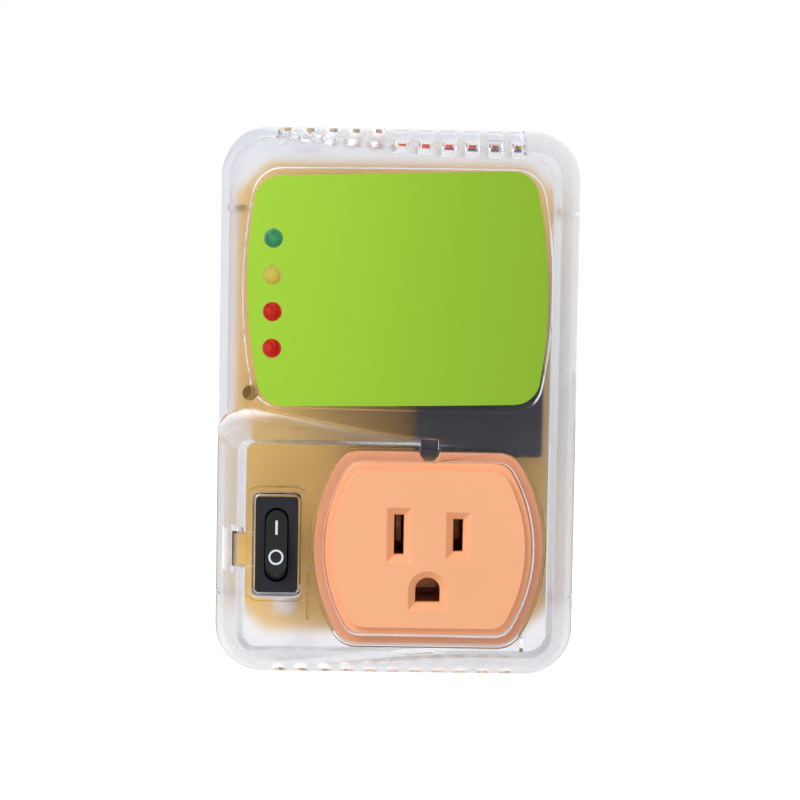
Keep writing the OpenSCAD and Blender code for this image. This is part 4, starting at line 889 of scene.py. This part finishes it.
class PROTECTOR_OT_outlet(bpy.types.Operator):
    """Peach outlet with its contacts and screws"""

    bl_idname = "protector.outlet"
    bl_label = "Outlet"

    def execute(self, context):
        peach = moulded_plastic("peach_plastic", context.scene.protector_finish.peach, 0.42, 0.015, 1100.0)
        face = softened("socket_face", "outlet_face", 0.28 * MM, 3)
        self.reshape(face)
        # The flange's front is drawn back a little, so that it doesn't share a plane with the cover
        for vertex in face.data.vertices:
            if -0.0382 < vertex.co.y < -0.0374:
                vertex.co.y += 0.1 * MM
        # Painted shade: the flange's front faces take a darker peach, standing in for the shade behind the
        # front wall
        painted_shade_peach = tuple(share * c for share, c in zip(FLANGE_PAINTED_SHADE, context.scene.protector_finish.peach))
        paint(face, peach, moulded_plastic("peach_flange_painted_shade", painted_shade_peach, 0.5, 0.015, 1100.0))
        for part in face.data.polygons:
            if part.center.y > -0.038 and part.normal.y < -0.5:
                part.material_index = 1
        seat(face, HOUSING, "peach_plastic", "socket_face")
        dress("socket_back", "outlet_back", peach, "peach_plastic", 0.2 * MM)
        bronze = plated_metal("contact_bronze", (0.62, 0.3, 0.14), 0.3)
        for node in ("neutral_contact", "hot_contact", "ground_contact"):
            dress(node, node + "_strip", bronze, "contact_bronze", 0.06 * MM)
        steel = plated_metal("plated_steel", (0.72, 0.72, 0.73), 0.25, (1, 1, 1))
        for node in ("socket_screws", "board_screws", "retainer_screws"):
            dress(node, node + "_turned", steel, "plated_steel", 0.06 * MM)
        return {"FINISHED"}

    def reshape(self, face):
        """Draws the flange's, the step's and the face's edges onto their outlines."""
        moves = []
        for made, wanted in zip(CAD_OUTLINES, (FLANGE, STEP, FACE)):
            moves.append((edge_radii(barrel(0, 0, *made)), edge_radii(barrel(0, 0, *wanted))))
        for vertex in face.data.vertices:
            x, z = vertex.co.x / MM - SOCKET[0], (vertex.co.z - MIDDLE_Z) / MM - SOCKET[1]
            y = vertex.co.y / MM
            if y > FLANGE_BACK:
                continue
            turn, reach = math.atan2(z, x), math.hypot(x, z)
            gaps = [(abs(reach - np.interp(turn, *made)), made, wanted) for made, wanted in moves]
            gap, made, wanted = min(gaps, key=lambda item: item[0])
            if gap > OUTLINE_REACH:
                continue
            reach += float(np.interp(turn, *wanted) - np.interp(turn, *made))
            vertex.co.x = (reach * math.cos(turn) + SOCKET[0]) * MM
            vertex.co.z = (reach * math.sin(turn) + SOCKET[1]) * MM + MIDDLE_Z


class PROTECTOR_OT_switch(bpy.types.Operator):
    """Black rocker switch with its marks, spring, contacts and leads"""

    bl_idname = "protector.switch"
    bl_label = "Rocker switch"

    def execute(self, context):
        black = moulded_plastic("switch_black", (0.018, 0.0185, 0.023), 0.55, 0.08, 1500.0, 0.00003, 0.5, 0.2)
        dress("switch_body", "switch_housing", black, "switch_black", 0.25 * MM, 3)
        dress("switch_base", "switch_base_plate", black, "switch_black", 0.15 * MM)
        black = moulded_plastic("rocker_black", (0.012, 0.012, 0.013), 0.4, 0.08, 1800.0, 0.00002, 0.3, 0.2)
        dress("switch_rocker", "rocker_button", black, "rocker_black", 0.18 * MM, 3, "rocker")
        self.marks(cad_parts["switch_rocker"])
        steel = plated_metal("spring_steel", (0.7, 0.7, 0.72), 0.25, (1, 1, 1))
        for node in ("switch_plunger", "switch_spring"):
            dress(node, node + "_steel", steel, "plated_steel", 0.0, body="rocker")
        bronze = plated_metal("lever_bronze", (0.62, 0.34, 0.18), 0.3)
        dress("switch_contact_lever", "contact_lever_strip", bronze, "contact_bronze", 0.05 * MM,
            body="contact_lever")
        brass = plated_metal("tinned_brass", (0.72, 0.68, 0.55), 0.3)
        dress("switch_terminals", "switch_tabs", brass, "tinned_brass", 0.06 * MM)
        sleeve = moulded_plastic("wire_insulation", (0.02, 0.02, 0.02), 0.4)
        dress("switch_wires", "switch_leads", sleeve, "wire_insulation", 0.0)
        return {"FINISHED"}

    def marks(self, source):
        """A bar and a ring printed on the rocker, laid on its face."""
        mesh = source.data
        face = BVHTree.FromPolygons([v.co for v in mesh.vertices], [p.vertices for p in mesh.polygons])
        px, pz = SWITCH
        bar = plate("rocker_bar", round_rect(px, pz + 3.8, 0.5, 3.0, 0.08, 2), -45, -44)
        ring = plate("rocker_ring", round_rect(px, pz - 2.4, 3.2, 3.2, 1.599, 12), -45, -44)
        hole = plate("ring_hole", round_rect(px, pz - 2.4, 2.4, 2.4, 1.199, 12), -46, -43)
        boolean(ring, hole, "DIFFERENCE")
        marks = join([bar, ring], "rocker_marks")
        for z in np.arange(pz - 4.5, pz + 6, 0.4):
            make_active(marks)
            bpy.ops.object.mode_set(mode="EDIT")
            bpy.ops.mesh.select_all(action="SELECT")
            bpy.ops.mesh.bisect(plane_co=(0, 0, float(z) * MM + MIDDLE_Z), plane_no=(0, 0, 1))
            bpy.ops.object.mode_set(mode="OBJECT")
        for vertex in marks.data.vertices:
            hit = face.ray_cast(Vector((vertex.co.x, -0.05, vertex.co.z)), Vector((0, 1, 0)))[0]
            lift = 0.04 if vertex.co.y < -0.0445 else -0.03
            vertex.co.y = hit.y - lift * MM
        recalculate(marks)
        paint(marks, moulded_plastic("mark_white", (0.72, 0.76, 0.85), 0.5, 0.02))
        seat(marks, "rocker", "rocker_black")


class PROTECTOR_OT_plug(bpy.types.Operator):
    """Wall plug: two flat blades, the ground pin and the plate that holds them"""

    bl_idname = "protector.plug"
    bl_label = "Wall plug"

    def execute(self, context):
        nickel = plated_metal("plated_brass", (0.72, 0.71, 0.67), 0.28)
        for node in ("neutral_blade", "hot_blade", "ground_pin"):
            dress(node, node + "_plated", nickel, "plated_brass", 0.12 * MM)
        white = moulded_plastic("white_plastic", (0.8, 0.8, 0.77), 0.45)
        dress("blade_retainer", "retainer_plate", white, "white_plastic", 0.2 * MM)
        return {"FINISHED"}


class PROTECTOR_OT_board(bpy.types.Operator):
    """Circuit board with its relay and small parts"""

    bl_idname = "protector.board"
    bl_label = "Circuit board"

    def execute(self, context):
        laminate = board_laminate("board_laminate", context.scene.protector_finish.board)
        dress("circuit_board", "board_panel", laminate, "board_laminate", 0.0)
        black = moulded_plastic("relay_black", (0.012, 0.012, 0.016), 0.38, 0.08, gloss=0.25)
        for node in ("relay_case", "relay_base"):
            dress(node, node + "_moulded", black, "relay_black", 0.2 * MM)
        tin = plated_metal("tinned_leads", (0.75, 0.73, 0.68), 0.3, (1, 1, 1))
        for node in ("relay_pins", "led_legs"):
            dress(node, node + "_tinned", tin, "tinned_brass", 0.0)
        finishes = (
            ("film_capacitor", "red_epoxy", (0.5, 0.03, 0.02), 0.25),
            ("varistor", "blue_epoxy", (0.03, 0.09, 0.35), 0.3),
            ("smoothing_capacitors", "capacitor_sleeve", (0.02, 0.03, 0.08), 0.3),
            ("rectifier_diodes", "moulded_black", (0.02, 0.02, 0.02), 0.5),
            ("resistors", "resistor_coat", (0.5, 0.33, 0.14), 0.4),
            ("timing_chip", "moulded_black", (0.02, 0.02, 0.02), 0.5),
            ("relay_transistor", "moulded_black", (0.02, 0.02, 0.02), 0.5),
            ("trimmers", "trimmer_blue", (0.02, 0.1, 0.5), 0.35),
        )
        for node, slot, colour, roughness in finishes:
            finish = moulded_plastic(node + "_finish", colour, roughness, 0.06)
            dress(node, node + "_part", finish, slot, 0.1 * MM)
        return {"FINISHED"}


class PROTECTOR_OT_lamps(bpy.types.Operator):
    """Four indicator lamps"""

    bl_idname = "protector.lamps"
    bl_label = "Indicator lamps"

    def execute(self, context):
        red = lamp_plastic_painted_glow("lamp_red", (0.9, 0.03, 0.015))
        tints = (
            ("led_green", "led_green", lamp_plastic_painted_glow("lamp_green", (0.06, 0.43, 0.18))),
            ("led_yellow", "led_yellow", lamp_plastic_painted_glow("lamp_yellow", (1.0, 0.86, 0.15))),
            ("led_red_upper", "led_red", red),
            ("led_red_lower", "led_red", red),
        )
        for node, slot, tint in tints:
            dress(node, node + "_lens", tint, slot, 0.0)
        return {"FINISHED"}


class PROTECTOR_OT_stage(bpy.types.Operator):
    """Pale floor, soft studio light and the camera at the photograph's angle"""

    bl_idname = "protector.stage"
    bl_label = "Stage"

    def execute(self, context):
        settings = context.scene.protector_stage
        self.lay_floor()
        self.light_world(context.scene, settings)
        self.hang_lamps(context.scene, settings)
        self.aim_camera(context.scene, settings)
        context.scene.view_settings.view_transform = "Standard"
        return {"FINISHED"}

    def lay_floor(self):
        """A pale floor that the camera, and what it sees through the clear plastic, finds white."""
        deselect()
        bpy.ops.mesh.primitive_plane_add(size=8, location=(0, 0, -0.22))
        floor = bpy.context.object
        floor.name = "studio_floor"
        material, tree, bsdf = start_material("studio_white")
        grain = add_noise(tree, 4.0)
        ramp = add_ramp(tree, grain.outputs["Fac"], (0.9, 0.9, 0.9, 1), (0.93, 0.93, 0.93, 1))
        tree.links.new(ramp.outputs["Color"], bsdf.inputs["Base Color"])
        bsdf.inputs["Roughness"].default_value = 0.8
        rays = tree.nodes.new("ShaderNodeLightPath").outputs
        seen = add_larger(tree, rays["Is Camera Ray"], rays["Is Transmission Ray"])
        white = tree.nodes.new("ShaderNodeEmission")
        white.inputs["Strength"].default_value = 0.75
        lifted = tree.nodes.new("ShaderNodeAddShader")
        tree.links.new(bsdf.outputs["BSDF"], lifted.inputs[0])
        tree.links.new(white.outputs["Emission"], lifted.inputs[1])
        add_mix(tree, seen, bsdf.outputs["BSDF"], lifted.outputs["Shader"], "Material Output")
        paint(floor, material)

    def light_world(self, scene, settings):
        """A world that is white to the camera, to mirrors and through clear plastic, and dim as a light."""
        world = bpy.data.worlds.new("studio")
        world.use_nodes = True
        scene.world = world
        tree = world.node_tree
        dim = tree.nodes["Background"]
        dim.inputs["Color"].default_value = (1, 1, 1, 1)
        dim.inputs["Strength"].default_value = settings.ambient
        bright = tree.nodes.new("ShaderNodeBackground")
        bright.inputs["Color"].default_value = (1, 1, 1, 1)
        rays = tree.nodes.new("ShaderNodeLightPath").outputs
        most = add_larger(tree, rays["Is Camera Ray"], rays["Is Glossy Ray"])
        most = add_larger(tree, most, rays["Is Transmission Ray"])
        add_mix(tree, most, dim.outputs["Background"], bright.outputs["Background"], "World Output")

    def hang_lamps(self, scene, settings):
        target = Vector((0.0, -0.02, MIDDLE_Z))
        for name, place, size, power in (
            ("key", (-0.45, -0.55, 0.45), 0.5, settings.key),
            ("fill", (0.6, -0.5, 0.1), 0.6, settings.fill),
        ):
            lamp = bpy.data.lights.new(name, "AREA")
            lamp.shape = "SQUARE"
            lamp.size = size
            lamp.energy = power
            obj = bpy.data.objects.new(name, lamp)
            scene.collection.objects.link(obj)
            obj.location = place
            obj.rotation_euler = (target - Vector(place)).to_track_quat("-Z", "Y").to_euler()

    def aim_camera(self, scene, settings):
        """The photograph's view: a little from the left and above, and rolled by a degree."""
        camera = bpy.data.cameras.new("photo_view")
        camera.lens = settings.lens
        camera.sensor_width = 36
        camera.clip_start = 0.01
        camera.clip_end = 20
        eye = bpy.data.objects.new("photo_view", camera)
        scene.collection.objects.link(eye)
        centre = Vector((AIM[0], FRONT_Y, MIDDLE_Z + AIM[1]))
        place = Vector((EYE[0] * settings.distance, FRONT_Y - settings.distance,
            MIDDLE_Z + EYE[1] * settings.distance))
        eye.location = place
        eye.rotation_euler = (centre - place).to_track_quat("-Z", "Y").to_euler()
        eye.rotation_euler.rotate_axis("Z", math.radians(ROLL))
        scene.camera = eye


class PROTECTOR_PT_panel(bpy.types.Panel):
    """Lists the pieces of the voltage protector"""

    bl_idname = "PROTECTOR_PT_panel"
    bl_label = "Voltage protector"
    bl_space_type = "VIEW_3D"
    bl_region_type = "UI"
    bl_category = "Protector"

    def draw(self, context):
        for group in GROUPS:
            settings = getattr(context.scene, group)
            box = self.layout.box()
            for name in settings.__annotations__:
                box.prop(settings, name)
        for operator in OPERATORS:
            self.layout.operator(operator.bl_idname)


OPERATORS = (
    PROTECTOR_OT_front_cover,
    PROTECTOR_OT_rear_cover,
    PROTECTOR_OT_label,
    PROTECTOR_OT_outlet,
    PROTECTOR_OT_switch,
    PROTECTOR_OT_plug,
    PROTECTOR_OT_board,
    PROTECTOR_OT_lamps,
    PROTECTOR_OT_stage,
)
GROUPS = {"protector_housing": HousingSettings, "protector_finish": FinishSettings,
    "protector_stage": StageSettings}
CLASSES = (*GROUPS.values(), *OPERATORS, PROTECTOR_PT_panel)


def register():
    for item in CLASSES:
        bpy.utils.register_class(item)
    for name, group in GROUPS.items():
        setattr(bpy.types.Scene, name, bpy.props.PointerProperty(type=group))


def unregister():
    for name in GROUPS:
        delattr(bpy.types.Scene, name)
    for item in reversed(CLASSES):
        bpy.utils.unregister_class(item)


def main():
    register()
    for operator in OPERATORS:
        group, name = operator.bl_idname.split(".")
        getattr(getattr(bpy.ops, group), name)()


if __name__ == "__main__":
    main()
